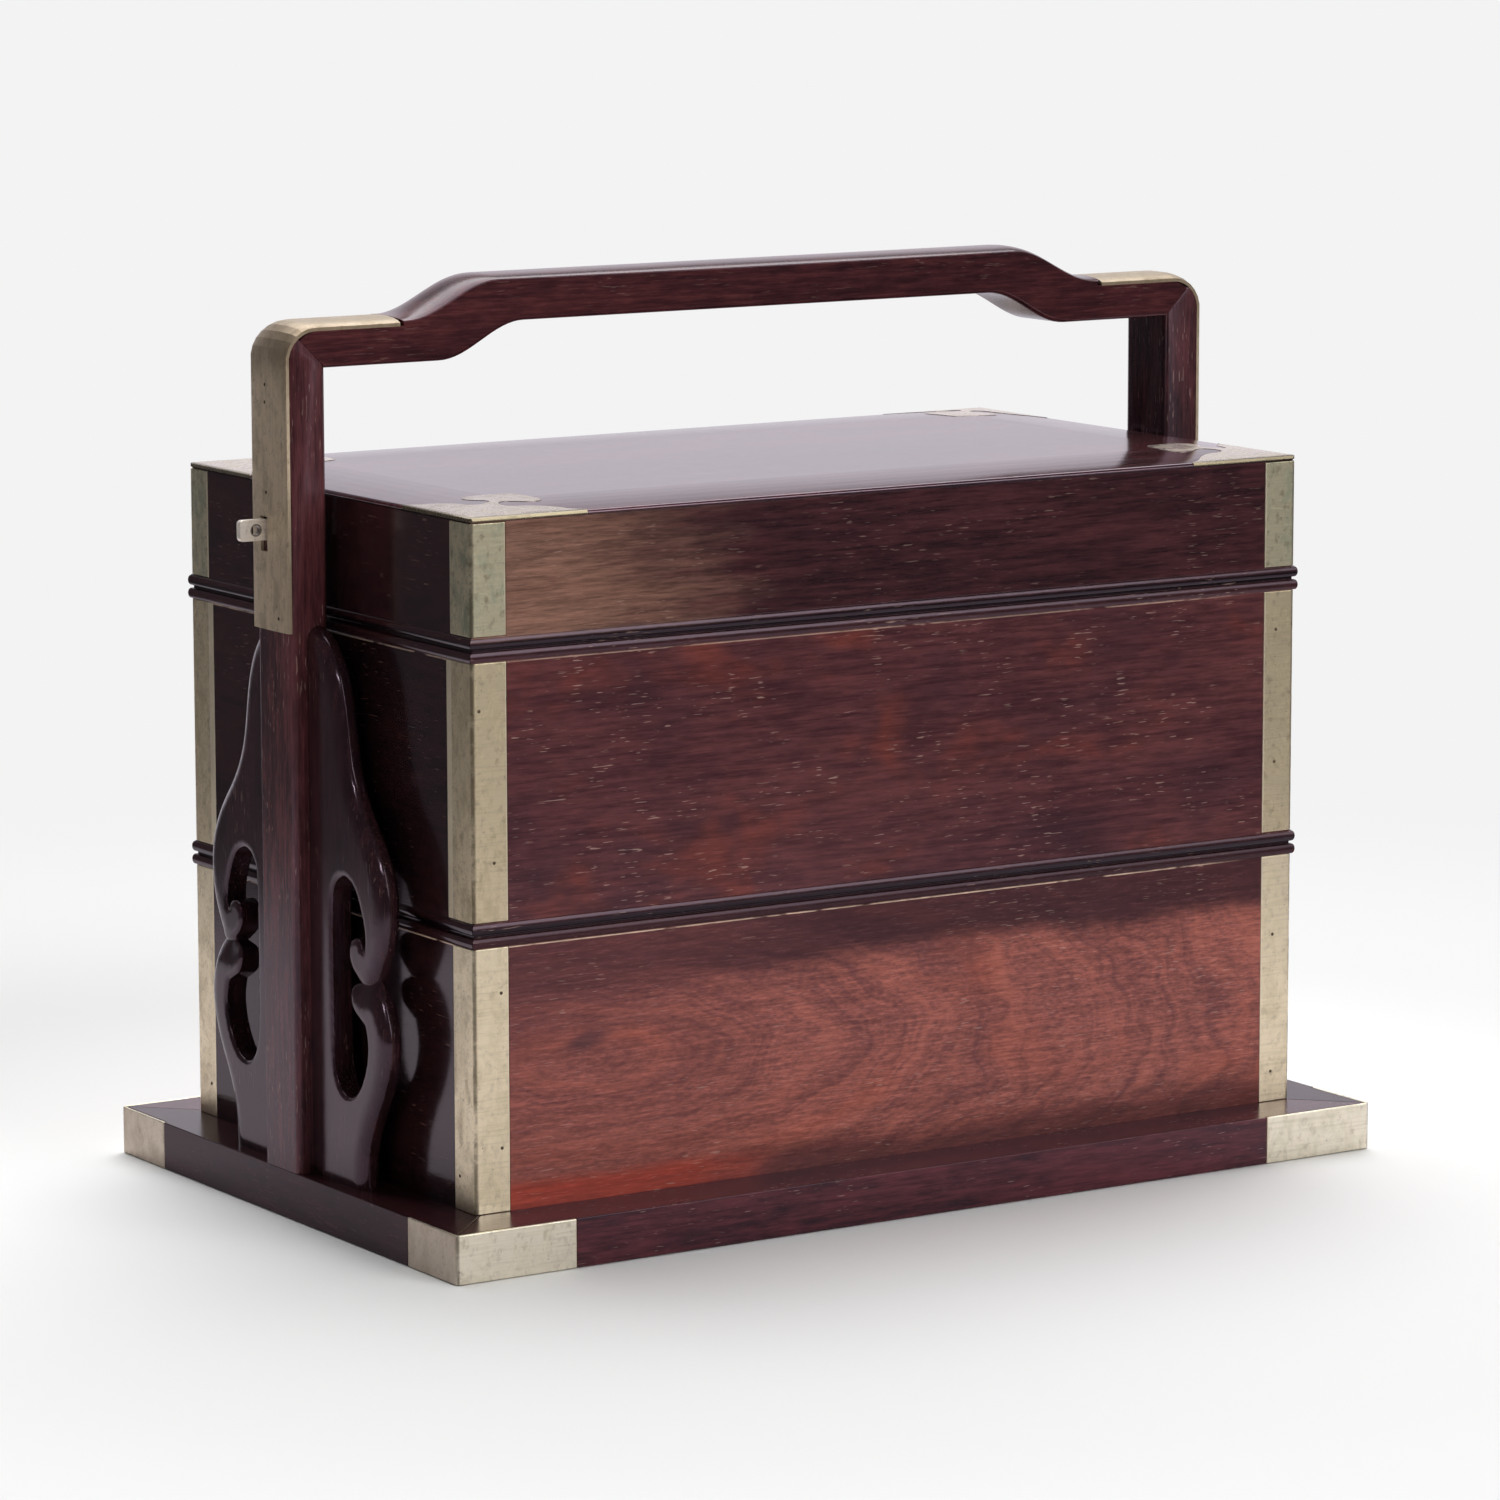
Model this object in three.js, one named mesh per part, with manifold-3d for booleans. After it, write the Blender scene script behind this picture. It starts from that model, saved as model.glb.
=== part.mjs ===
// Two-tier carrying box in dark hardwood with white metal mounts.
//
// Two trays and a lid stand on a base, between two posts that a humpback handle bar joins. Four pierced
// standing brackets stay the posts, and a flat bolt passes through each post at the height of the lid.
// The long side lies along X, the front faces -Y, and the base stands on z = 0. Sizes are in millimetres.

import * as THREE from 'three';
import { mergeVertices } from 'three/addons/utils/BufferGeometryUtils.js';
import Module from 'manifold-3d';

const wasm = await Module();
wasm.setup();

// Fits
const mitreGap = 0.12;
const inlayGap = 0.1;
const slipGap = 0.3;
const overrun = 5;

// Base frame
const baseLength = 350;
const baseDepth = 222;
const baseHeight = 15.5;
const railWidth = 30;
const panelLift = 3;
const locatingRise = 2.5;
const locatingChamfer = 0.6;
const mountThickness = 1;
const mountProud = 0.12;
const mountRadius = 1.7;
const baseMountLongLeg = 42.5;
const baseMountShortLeg = 30;

// Trays
const endMargin = 18.4;
const frontMargin = 20.1;
const wall = 9;
const lowerHeight = 86.8;
const upperHeight = 88.2;
const tongueWidth = 3.8;
const tongueHeight = 3.2;
const floorThickness = 5;
const floorRise = 6;
const floorTongue = 3.8;
const strapLeg = 12.4;
const upperStrapSideLeg = 15;

// Mouldings at the joints: a bead with a quirk beside it
const quirkHeight = 0.45;
const quirkDepth = 0.6;
const beadHeight = 3.4;
const beadProud = 0.85;
const strapRise = 0.3;

// Lid
const lidSideHeight = 39.4;
const lipThickness = 1.2;
const lidLedge = 4.3;
const lidBoardDrop = 5.3;
const crownRise = 1.9;
const crownReach = 32;
const edgeRound = 0.9;
const plateLeg = 41.6;
const plateThickness = 0.75;

// Posts and humpback handle
const postThickness = 13.4;
const handleDepth = 22.6;
const handClearance = 39.4;
const barThickness = 14.5;
const humpRise = 11.6;
const humpUnderRise = 11.3;
const humpSetback = 1;
const humpRun = 34;
const humpUnderRun = 31;
const humpUnderInset = 10.5;
const cornerRadius = 11;
const edgeSoftening = 2;
const tenonThickness = 6.5;
const tenonWidth = 15;
const tenonDepth = 10;

// Handle straps and bolts
const handleStrapThickness = 1.2;
const handleStrapProud = 0.15;
const handleStrapDrop = 2.5;
const handleStrapReach = 40;
const strapSeatDepth = 3;
const boltHeight = 6.7;
const boltThickness = 2.4;
const boltRise = 29;
const boltCentreAside = 3.7;
const boltStickOut = 9;
const boltEndRadius = 1.3;
const boltEyeRadius = 1.6;
const boltEyeInset = 3.4;
const slotWidth = 4.4;
const slotHeight = 11;
const slotDrop = 1.4;
const lidMortiseDepth = 6;

// Standing brackets
const bracketThickness = 8;
const bracketReach = 46.7;
const bracketLap = 2;
const bracketSoftening = 1.7;

// Places that follow from the sizes
const postOuter = baseLength / 2;
const postInner = postOuter - postThickness;
const boxHalfLength = baseLength / 2 - endMargin;
const boxHalfDepth = baseDepth / 2 - frontMargin;
const upperFoot = baseHeight + lowerHeight;
const lidFoot = upperFoot + upperHeight;
const handleUnderside = lidFoot + lidSideHeight + lipThickness + handClearance;
const barTop = handleUnderside + barThickness;
const humpHalfLength = postOuter - handleStrapReach - humpSetback - humpRun;
const handleStrapFoot = lidFoot - handleStrapDrop;
const handleStrapWidth = handleDepth + 2 * handleStrapProud;
const boltCentreHeight = lidFoot + boltRise;
const bracketHeight = handleStrapFoot + bracketLap - baseHeight;
const mouldingHeight = quirkHeight + beadHeight;
const strapFootRise = mouldingHeight + strapRise;

const wood = { color: 0x35201f, roughness: 0.32, metalness: 0 };
const paleMetal = { color: 0xa79f88, roughness: 0.42, metalness: 1 };

// Solids from geometries, and back again
function toSolid(geometry) {
  const bare = geometry.clone();
  bare.deleteAttribute('normal');
  bare.deleteAttribute('uv');
  const welded = mergeVertices(bare);
  const mesh = new wasm.Mesh({
    numProp: 3,
    vertProperties: new Float32Array(welded.attributes.position.array),
    triVerts: new Uint32Array(welded.index.array),
  });
  return new wasm.Manifold(mesh);
}

function toGeometry(solid) {
  const mesh = solid.getMesh();
  const geometry = new THREE.BufferGeometry();
  geometry.setAttribute('position', new THREE.BufferAttribute(new Float32Array(mesh.vertProperties), 3));
  geometry.setIndex(new THREE.BufferAttribute(new Uint32Array(mesh.triVerts), 1));
  geometry.computeVertexNormals();
  return geometry;
}

function cut(geometry, tools) {
  let solid = toSolid(geometry);
  for (const tool of tools) {
    solid = solid.subtract(toSolid(tool));
  }
  return toGeometry(solid);
}

function join(first, second) {
  return toGeometry(toSolid(first).add(toSolid(second)));
}

// A rectangular block from its low and high corners
function block(low, high) {
  const geometry = new THREE.BoxGeometry(high[0] - low[0], high[1] - low[1], high[2] - low[2]);
  geometry.translate((low[0] + high[0]) / 2, (low[1] + high[1]) / 2, (low[2] + high[2]) / 2);
  return geometry;
}

// Sections drawn in XZ, XY or YZ, and extruded across
const acrossY = new THREE.Matrix4().makeRotationX(Math.PI / 2);
const acrossX = new THREE.Matrix4().makeBasis(
  new THREE.Vector3(0, 1, 0),
  new THREE.Vector3(0, 0, 1),
  new THREE.Vector3(1, 0, 0),
);

function shapeOf(points) {
  return new THREE.Shape(points.map(([x, y]) => new THREE.Vector2(x, y)));
}

function extrude(shape, depth, softening, curveSegments) {
  const geometry = new THREE.ExtrudeGeometry(shape, {
    depth: depth - 2 * softening,
    curveSegments,
    bevelEnabled: softening > 0,
    bevelThickness: softening,
    bevelSize: softening,
    bevelOffset: -softening,
    bevelSegments: 2,
  });
  geometry.translate(0, 0, softening - depth / 2);
  return geometry;
}

// A closed stack of level rectangles, each with its half length, half depth and height
function stackedRectangles(rings) {
  const position = [];
  const index = [];
  for (const [halfLength, halfDepth, height] of rings) {
    position.push(-halfLength, -halfDepth, height, halfLength, -halfDepth, height);
    position.push(halfLength, halfDepth, height, -halfLength, halfDepth, height);
  }
  index.push(0, 2, 1, 0, 3, 2);
  for (let ring = 0; ring < rings.length - 1; ring++) {
    for (let side = 0; side < 4; side++) {
      const a = ring * 4 + side;
      const b = ring * 4 + (side + 1) % 4;
      index.push(a, b, b + 4, a, b + 4, a + 4);
    }
  }
  const top = (rings.length - 1) * 4;
  index.push(top, top + 1, top + 2, top, top + 2, top + 3);
  const geometry = new THREE.BufferGeometry();
  geometry.setAttribute('position', new THREE.Float32BufferAttribute(position, 3));
  geometry.setIndex(index);
  geometry.computeVertexNormals();
  return geometry;
}

// A board whose section is drawn inward from its outer face, with both ends mitred at 45 degrees
function mitredBoard(section, length) {
  const geometry = new THREE.ExtrudeGeometry(shapeOf(section), { depth: length, bevelEnabled: false });
  const position = geometry.attributes.position;
  for (let i = 0; i < position.count; i++) {
    const inward = position.getX(i);
    const height = position.getY(i);
    const reach = length / 2 - inward - mitreGap;
    const end = position.getZ(i) > length / 2 ? 1 : -1;
    position.setXYZ(i, end * reach, inward, height);
  }
  return geometry;
}

// The four sides of a frame: a board's own X runs along its side and its own Y points inward
function frameSides(halfLength, halfDepth) {
  return [
    { side: 'front', length: 2 * halfLength, x: 0, y: -halfDepth, turn: 0 },
    { side: 'back', length: 2 * halfLength, x: 0, y: halfDepth, turn: Math.PI },
    { side: 'left', length: 2 * halfDepth, x: -halfLength, y: 0, turn: -Math.PI / 2 },
    { side: 'right', length: 2 * halfDepth, x: halfLength, y: 0, turn: Math.PI / 2 },
  ];
}

// Recesses at both ends of a board for the legs of the corner mounts
function mountRecesses(length, leg, low, high) {
  const start = length / 2 - leg - inlayGap;
  const end = length / 2 + overrun;
  const depth = mountThickness - mountProud + inlayGap;
  return [-1, 1].map((side) => block(
    [Math.min(side * start, side * end), -overrun, low - inlayGap],
    [Math.max(side * start, side * end), depth, high + inlayGap],
  ));
}

// A sheet metal angle round an upright corner, drawn from the corner with its legs along +X and +Y
function cornerMount(xLeg, yLeg, low, high) {
  const outer = -mountProud;
  const inner = mountThickness - mountProud;
  const shape = new THREE.Shape();
  shape.moveTo(xLeg, outer);
  shape.lineTo(xLeg, inner);
  shape.lineTo(inner, inner);
  shape.lineTo(inner, yLeg);
  shape.lineTo(outer, yLeg);
  shape.lineTo(outer, outer + mountRadius);
  shape.absarc(outer + mountRadius, outer + mountRadius, mountRadius, Math.PI, 1.5 * Math.PI, false);
  const geometry = extrude(shape, high - low, 0, 4);
  geometry.translate(0, 0, (low + high) / 2);
  return geometry;
}

// The four upright corners: legs are swapped on every second one, because each is turned by a quarter
function frameCorners(halfLength, halfDepth) {
  return [
    { corner: 'front_left', x: -halfLength, y: -halfDepth, turn: 0, swapped: false },
    { corner: 'front_right', x: halfLength, y: -halfDepth, turn: Math.PI / 2, swapped: true },
    { corner: 'back_right', x: halfLength, y: halfDepth, turn: Math.PI, swapped: false },
    { corner: 'back_left', x: -halfLength, y: halfDepth, turn: -Math.PI / 2, swapped: true },
  ];
}

function addMesh(group, name, geometry, finish, place = {}) {
  const mesh = new THREE.Mesh(geometry, new THREE.MeshStandardMaterial(finish));
  mesh.name = name;
  mesh.position.set(place.x ?? 0, place.y ?? 0, place.z ?? 0);
  mesh.rotation.z = place.turn ?? 0;
  group.add(mesh);
}

function addCornerMounts(group, prefix, halfLength, halfDepth, xLeg, yLeg, low, high) {
  for (const { corner, x, y, turn, swapped } of frameCorners(halfLength, halfDepth)) {
    const geometry = swapped ? cornerMount(yLeg, xLeg, low, high) : cornerMount(xLeg, yLeg, low, high);
    addMesh(group, `${prefix}_${corner}`, geometry, paleMetal, { x, y, turn });
  }
}

// Base: four mitred rails, and a panel whose raised field locates the lower tray
function baseRail(side, length) {
  const section = [[0, 0], [railWidth, 0], [railWidth, baseHeight], [0, baseHeight]];
  const alongX = side === 'front' || side === 'back';
  const leg = alongX ? baseMountLongLeg : baseMountShortLeg;
  const tools = mountRecesses(length, leg, -overrun, baseHeight + overrun);
  if (!alongX) {
    const clear = tenonThickness / 2 + inlayGap;
    const middle = postThickness / 2;
    tools.push(block(
      [-tenonWidth / 2 - inlayGap, middle - clear, baseHeight - tenonDepth - slipGap],
      [tenonWidth / 2 + inlayGap, middle + clear, baseHeight + overrun],
    ));
  }
  return cut(mitredBoard(section, length), tools);
}

function basePanel() {
  const innerLength = baseLength / 2 - railWidth - slipGap;
  const innerDepth = baseDepth / 2 - railWidth - slipGap;
  const fieldLength = boxHalfLength - wall - slipGap;
  const fieldDepth = boxHalfDepth - wall - slipGap;
  const top = baseHeight + locatingRise;
  return stackedRectangles([
    [innerLength, innerDepth, panelLift],
    [innerLength, innerDepth, baseHeight],
    [fieldLength, fieldDepth, baseHeight],
    [fieldLength, fieldDepth, top - locatingChamfer],
    [fieldLength - locatingChamfer, fieldDepth - locatingChamfer, top],
  ]);
}

function addBase(group) {
  for (const { side, length, ...place } of frameSides(baseLength / 2, baseDepth / 2)) {
    addMesh(group, `base_rail_${side}`, baseRail(side, length), wood, place);
  }
  addMesh(group, 'base_panel', basePanel(), wood);
  addCornerMounts(group, 'base_mount', baseLength / 2, baseDepth / 2,
    baseMountLongLeg, baseMountShortLeg, 0, baseHeight);
}

// Posts and handle bar: outlines in XZ that share the rounded corner and its mitre
const cornerCentre = [postOuter + handleStrapThickness - cornerRadius, barTop - cornerRadius];
const woodCornerRadius = cornerRadius - handleStrapThickness;
const mitreAngle = Math.PI / 4;

function cornerArc(side, radius, from, to) {
  const steps = 6;
  return Array.from({ length: steps + 1 }, (_, i) => {
    const angle = from + (to - from) * i / steps;
    return [side * (cornerCentre[0] + radius * Math.cos(angle)), cornerCentre[1] + radius * Math.sin(angle)];
  });
}

// The region above the mitre, moved across it by a gap
function mitreCutter(side, gap) {
  const inner = [postInner, handleUnderside];
  const outer = [
    cornerCentre[0] + woodCornerRadius * Math.cos(mitreAngle),
    cornerCentre[1] + woodCornerRadius * Math.sin(mitreAngle),
  ];
  const run = Math.hypot(outer[0] - inner[0], outer[1] - inner[1]);
  const along = [(outer[0] - inner[0]) / run, (outer[1] - inner[1]) / run];
  const reach = run + handleDepth;
  const start = [inner[0] - along[1] * gap, inner[1] + along[0] * gap];
  const points = [
    [start[0] - along[0] * reach, start[1] - along[1] * reach],
    [start[0] + along[0] * reach, start[1] + along[1] * reach],
    [start[0] + along[0] * reach, start[1] + along[1] * reach + 2 * reach],
    [start[0] - along[0] * reach - 2 * reach, start[1] - along[1] * reach],
  ];
  const shape = shapeOf(points.map(([x, z]) => [side * x, z]));
  return extrude(shape, handleDepth + 2 * overrun, 0, 1).applyMatrix4(acrossY);
}

function slotCutter(side, width, height, middle, from, to) {
  const low = Math.min(side * from, side * to);
  const high = Math.max(side * from, side * to);
  return block(
    [low, boltCentreAside - width / 2, middle - height / 2],
    [high, boltCentreAside + width / 2, middle + height / 2],
  );
}

// Band that follows the outer side of a top corner, from one radius in to another
function cornerBand(side, strapEnd, foot, outer, inner) {
  const outerReach = outer - cornerRadius + handleStrapThickness;
  const innerReach = inner - cornerRadius + handleStrapThickness;
  const level = barTop - handleStrapThickness;
  return shapeOf([
    [side * strapEnd, level + outerReach],
    ...cornerArc(side, outer, Math.PI / 2, 0),
    [side * (postOuter + outerReach), foot],
    [side * (postOuter + innerReach), foot],
    ...cornerArc(side, inner, 0, Math.PI / 2),
    [side * strapEnd, level + innerReach],
  ]);
}

// Square-edged seat of the strap, which fills the rounded edges of the wood behind it
function strapSeat(side) {
  const strapEnd = postOuter - handleStrapReach;
  const band = cornerBand(side, strapEnd, handleStrapFoot + inlayGap,
    woodCornerRadius, woodCornerRadius - strapSeatDepth);
  return extrude(band, handleDepth, 0, 1).applyMatrix4(acrossY);
}

function post(side) {
  const outline = [
    [side * postInner, baseHeight - overrun],
    [side * postInner, barTop - handleStrapThickness],
    ...cornerArc(side, woodCornerRadius, Math.PI / 2, 0),
    [side * postOuter, baseHeight - overrun],
  ];
  const stock = extrude(shapeOf(outline), handleDepth, edgeSoftening, 1).applyMatrix4(acrossY);
  const farBelow = baseHeight - 2 * overrun;
  const shaped = cut(join(stock, strapSeat(side)), [
    block([-baseLength, -baseDepth, farBelow], [baseLength, baseDepth, baseHeight]),
    mitreCutter(side, -mitreGap),
    slotCutter(side, boltThickness + 2 * slipGap, boltHeight + 2 * slipGap, boltCentreHeight,
      postInner - overrun, postOuter + overrun),
  ]);
  const middle = side * (postInner + postOuter) / 2;
  const tenon = block(
    [middle - tenonThickness / 2, -tenonWidth / 2, baseHeight - tenonDepth],
    [middle + tenonThickness / 2, tenonWidth / 2, baseHeight + overrun],
  );
  return join(shaped, tenon);
}

// One flank of the hump, from its flat top at the given half length down over the run
function humpFlank(halfLength, run, height, rise) {
  const steps = 16;
  return Array.from({ length: steps + 1 }, (_, i) => {
    const fall = (1 - Math.cos(Math.PI * i / steps)) / 2;
    return [halfLength + run * i / steps, height + rise * (1 - fall)];
  });
}

function handleBar() {
  const strapEnd = postOuter - handleStrapReach - inlayGap;
  const underStart = humpHalfLength - humpUnderInset;
  const top = humpFlank(humpHalfLength, humpRun, barTop, humpRise);
  const underside = humpFlank(underStart, humpUnderRun, handleUnderside, humpUnderRise);
  const rightHalf = [
    ...top,
    [strapEnd, barTop],
    [strapEnd, barTop - handleStrapThickness],
    ...cornerArc(1, woodCornerRadius, Math.PI / 2, 0),
    [postOuter, handleUnderside - overrun],
    [postInner, handleUnderside - overrun],
    [postInner, handleUnderside],
    ...underside.toReversed(),
  ];
  const leftHalf = rightHalf.map(([x, z]) => [-x, z]).toReversed();
  const stock = extrude(shapeOf([...rightHalf, ...leftHalf]), handleDepth, edgeSoftening, 1);
  stock.applyMatrix4(acrossY);
  let bar = toSolid(join(join(stock, strapSeat(-1)), strapSeat(1)));
  for (const side of [-1, 1]) {
    const corner = toSolid(block(
      [side > 0 ? postInner - overrun : -baseLength, -baseDepth, 0],
      [side > 0 ? baseLength : overrun - postInner, baseDepth, barTop + overrun],
    ));
    const kept = toSolid(mitreCutter(side, mitreGap));
    bar = bar.subtract(corner.subtract(kept));
  }
  return toGeometry(bar);
}

function handleStrap(side) {
  const band = cornerBand(side, postOuter - handleStrapReach, handleStrapFoot,
    cornerRadius, woodCornerRadius + inlayGap);
  const stock = extrude(band, handleStrapWidth, 0, 1).applyMatrix4(acrossY);
  return cut(stock, [slotCutter(side, slotWidth, slotHeight, boltCentreHeight - slotDrop,
    postOuter - overrun, postOuter + overrun)]);
}

// Flat bolt with a rounded outer end and an eye
function bolt(side) {
  const tip = postInner + slipGap;
  const end = postOuter + handleStrapThickness + boltStickOut;
  const low = boltCentreHeight - boltHeight / 2;
  const high = boltCentreHeight + boltHeight / 2;
  const shape = new THREE.Shape();
  shape.moveTo(tip, low);
  shape.lineTo(end - boltEndRadius, low);
  shape.absarc(end - boltEndRadius, low + boltEndRadius, boltEndRadius, -Math.PI / 2, 0, false);
  shape.absarc(end - boltEndRadius, high - boltEndRadius, boltEndRadius, 0, Math.PI / 2, false);
  shape.lineTo(tip, high);
  const eye = new THREE.Path();
  const eyeCentre = postOuter + handleStrapThickness + boltEyeInset;
  eye.absarc(eyeCentre, boltCentreHeight, boltEyeRadius, 0, 2 * Math.PI, true);
  shape.holes.push(eye);
  const geometry = extrude(shape, boltThickness, 0, 6).applyMatrix4(acrossY);
  return side > 0 ? geometry : geometry.rotateZ(Math.PI);
}

// Standing bracket: its outline runs out from the post and down to the base. Points are shares of its
// reach and height, and a softening rounds every edge but those against the post and the base.
const crestShares = [
  [0.12, 0.989], [0.24, 0.963], [0.345, 0.926], [0.418, 0.874], [0.46, 0.817], [0.495, 0.771],
  [0.557, 0.728], [0.66, 0.685], [0.808, 0.639], [0.915, 0.596], [0.973, 0.553], [0.985, 0.507],
  [0.96, 0.461], [0.905, 0.424],
];
const notchShare = [0.83, 0.388];
const bellyShares = [
  [0.905, 0.355], [0.972, 0.318], [1, 0.284], [0.988, 0.246], [0.947, 0.209], [0.883, 0.172],
  [0.8, 0.135], [0.727, 0.095], [0.682, 0.054], [0.667, 0],
];
const eyeShares = [
  [0.285, 0.27], [0.28, 0.4], [0.285, 0.5], [0.32, 0.542], [0.44, 0.562], [0.58, 0.55], [0.67, 0.515],
  [0.725, 0.475], [0.728, 0.448],
];
const upperHookShares = [
  [0.7, 0.438], [0.672, 0.453], [0.6, 0.458], [0.53, 0.447], [0.517, 0.42], [0.565, 0.399],
];
const lowerHookShares = [
  [0.634, 0.382], [0.55, 0.37], [0.525, 0.352], [0.56, 0.328], [0.63, 0.315], [0.72, 0.303],
];
const lowerEyeShares = [
  [0.752, 0.27], [0.735, 0.235], [0.68, 0.202], [0.6, 0.176], [0.49, 0.164], [0.38, 0.173], [0.31, 0.205],
  [0.289, 0.245],
];

function bracketPoints(shares) {
  return shares.map(([out, up]) => new THREE.Vector2(
    -handleDepth / 2 - out * bracketReach,
    baseHeight + up * bracketHeight,
  ));
}

function bracket(side, fore) {
  const inside = overrun - handleDepth / 2;
  const [notch] = bracketPoints([notchShare]);
  const shape = new THREE.Shape();
  shape.moveTo(inside, baseHeight - overrun);
  shape.lineTo(inside, baseHeight + bracketHeight);
  shape.lineTo(-handleDepth / 2, baseHeight + bracketHeight);
  shape.splineThru([...bracketPoints(crestShares), notch]);
  const belly = bracketPoints(bellyShares);
  shape.splineThru(belly);
  shape.lineTo(belly.at(-1).x, baseHeight - overrun);
  const opening = new THREE.Path();
  const eye = bracketPoints(eyeShares);
  opening.moveTo(eye[0].x, eye[0].y);
  opening.splineThru(eye.slice(1));
  opening.splineThru(bracketPoints(upperHookShares));
  opening.splineThru(bracketPoints(lowerHookShares));
  opening.splineThru(bracketPoints(lowerEyeShares));
  shape.holes.push(opening);
  const stock = extrude(shape, bracketThickness, bracketSoftening, 2).applyMatrix4(acrossX);
  stock.translate(side * (postInner + bracketThickness / 2), 0, 0);
  const standing = cut(stock, [
    block([-baseLength, -baseDepth, -overrun], [baseLength, baseDepth, baseHeight]),
    block([-baseLength, -handleDepth / 2, -overrun], [baseLength, overrun, barTop]),
  ]);
  return fore < 0 ? standing : toGeometry(toSolid(standing).mirror([0, 1, 0]));
}

function addCarrier(group) {
  for (const [name, side] of [['left', -1], ['right', 1]]) {
    addMesh(group, `post_${name}`, post(side), wood);
    addMesh(group, `handle_strap_${name}`, handleStrap(side), paleMetal);
    addMesh(group, `bracket_front_${name}`, bracket(side, -1), wood);
    addMesh(group, `bracket_back_${name}`, bracket(side, 1), wood);
    addMesh(group, `bolt_${name}`, bolt(side), paleMetal, { y: boltCentreAside });
  }
  addMesh(group, 'handle_bar', handleBar(), wood);
}

// Mouldings of a wall, as points of its section from the outer face inward
function bead(foot) {
  const steps = 6;
  return Array.from({ length: steps + 1 }, (_, i) => {
    const angle = Math.PI * (i / steps - 1 / 2);
    return [-beadProud * Math.cos(angle), foot + beadHeight * (1 + Math.sin(angle)) / 2];
  });
}

function footMoulding() {
  return [[quirkDepth, 0], [quirkDepth, quirkHeight], ...bead(quirkHeight)];
}

function quirkAtTop(height) {
  return [[quirkDepth, height - quirkHeight], [quirkDepth, height]];
}

function rimMoulding(height) {
  return [...bead(height - mouldingHeight), ...quirkAtTop(height)];
}

function rebatedFoot() {
  const tongueStart = wall - tongueWidth - slipGap;
  const rebate = tongueHeight + slipGap;
  return [[wall, rebate], [tongueStart, rebate], [tongueStart, 0]];
}

function floorGroove() {
  const low = floorRise - inlayGap;
  const high = floorRise + floorThickness + inlayGap;
  const depth = wall - floorTongue - slipGap;
  return [[wall, high], [depth, high], [depth, low], [wall, low]];
}

function trayTongue(height) {
  const start = wall - tongueWidth;
  return [[start, height], [start, height + tongueHeight], [wall, height + tongueHeight]];
}

function lowerTraySection() {
  return [[0, 0], ...rimMoulding(lowerHeight), ...trayTongue(lowerHeight), ...floorGroove(), [wall, 0]];
}

function upperTraySection() {
  return [
    ...footMoulding(), ...rimMoulding(upperHeight), ...trayTongue(upperHeight),
    ...floorGroove(), ...rebatedFoot(),
  ];
}

function trayFloor() {
  const halfLength = boxHalfLength - wall + floorTongue;
  const halfDepth = boxHalfDepth - wall + floorTongue;
  return block([-halfLength, -halfDepth, floorRise], [halfLength, halfDepth, floorRise + floorThickness]);
}

function addTray(group, prefix, section, sideLeg, strapLow, strapHigh) {
  for (const { side, length, ...place } of frameSides(boxHalfLength, boxHalfDepth)) {
    const leg = side === 'front' || side === 'back' ? strapLeg : sideLeg;
    const board = cut(mitredBoard(section, length), mountRecesses(length, leg, strapLow, strapHigh));
    addMesh(group, `${prefix}_${side}`, board, wood, place);
  }
  addMesh(group, `${prefix}_floor`, trayFloor(), wood);
  addCornerMounts(group, `${prefix}_strap`, boxHalfLength, boxHalfDepth, strapLeg, sideLeg, strapLow, strapHigh);
}

// Lid: four sides with a ledge, and a crowned top board whose lip laps over them
function lidSection() {
  const ledge = lidSideHeight - lidBoardDrop;
  return [
    ...footMoulding(), [0, lidSideHeight - quirkHeight], ...quirkAtTop(lidSideHeight),
    [lidLedge, lidSideHeight], [lidLedge, ledge], [wall, ledge], ...rebatedFoot(),
  ];
}

// Level rings of the crowned top, each one grown outward and upward by an offset
function crownRings(offset) {
  const edge = lidSideHeight + lipThickness;
  const steps = 6;
  const rings = [[0, edge - edgeRound], [edgeRound / 4, edge - edgeRound / 3], [edgeRound, edge]];
  for (let i = 1; i <= steps; i++) {
    const share = i / steps;
    rings.push([edgeRound + (crownReach - edgeRound) * share, edge + crownRise * (1 - (1 - share) ** 2)]);
  }
  return rings.map(([inset, height]) => [
    boxHalfLength - inset + offset, boxHalfDepth - inset + offset, height + offset,
  ]);
}

function crownSkin(offset) {
  const [firstLength, firstDepth] = crownRings(offset)[0];
  return stackedRectangles([[firstLength, firstDepth, 0], ...crownRings(offset)]);
}

// Upright prism that rounds the lid's corners like its straps
function lidProfile(offset) {
  const radius = mountRadius - mountProud + offset;
  const shape = new THREE.Shape();
  for (const { x, y, turn } of frameCorners(boxHalfLength + offset - radius, boxHalfDepth + offset - radius)) {
    shape.absarc(x, y, radius, turn + Math.PI, turn + 1.5 * Math.PI, false);
  }
  return toSolid(extrude(shape, 4 * lidSideHeight, 0, 4));
}

// Corner plate: two legs along the edges and a cloud head on the diagonal. Half of it is given as
// shares of the leg, along the diagonal and across it.
const plateFlankShares = [
  [0.7, 0.635], [0.687, 0.56], [0.69, 0.46], [0.68, 0.36], [0.645, 0.265], [0.59, 0.19], [0.572, 0.125],
  [0.6, 0.07],
];
const plateHeadShares = [
  [0.66, 0.043], [0.72, 0.042], [0.765, 0.07], [0.785, 0.125], [0.8, 0.195], [0.84, 0.265],
  [0.9, 0.303], [0.965, 0.285], [1.025, 0.225], [1.08, 0.155], [1.135, 0.08],
];
const plateApexShare = 1.185;

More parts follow.
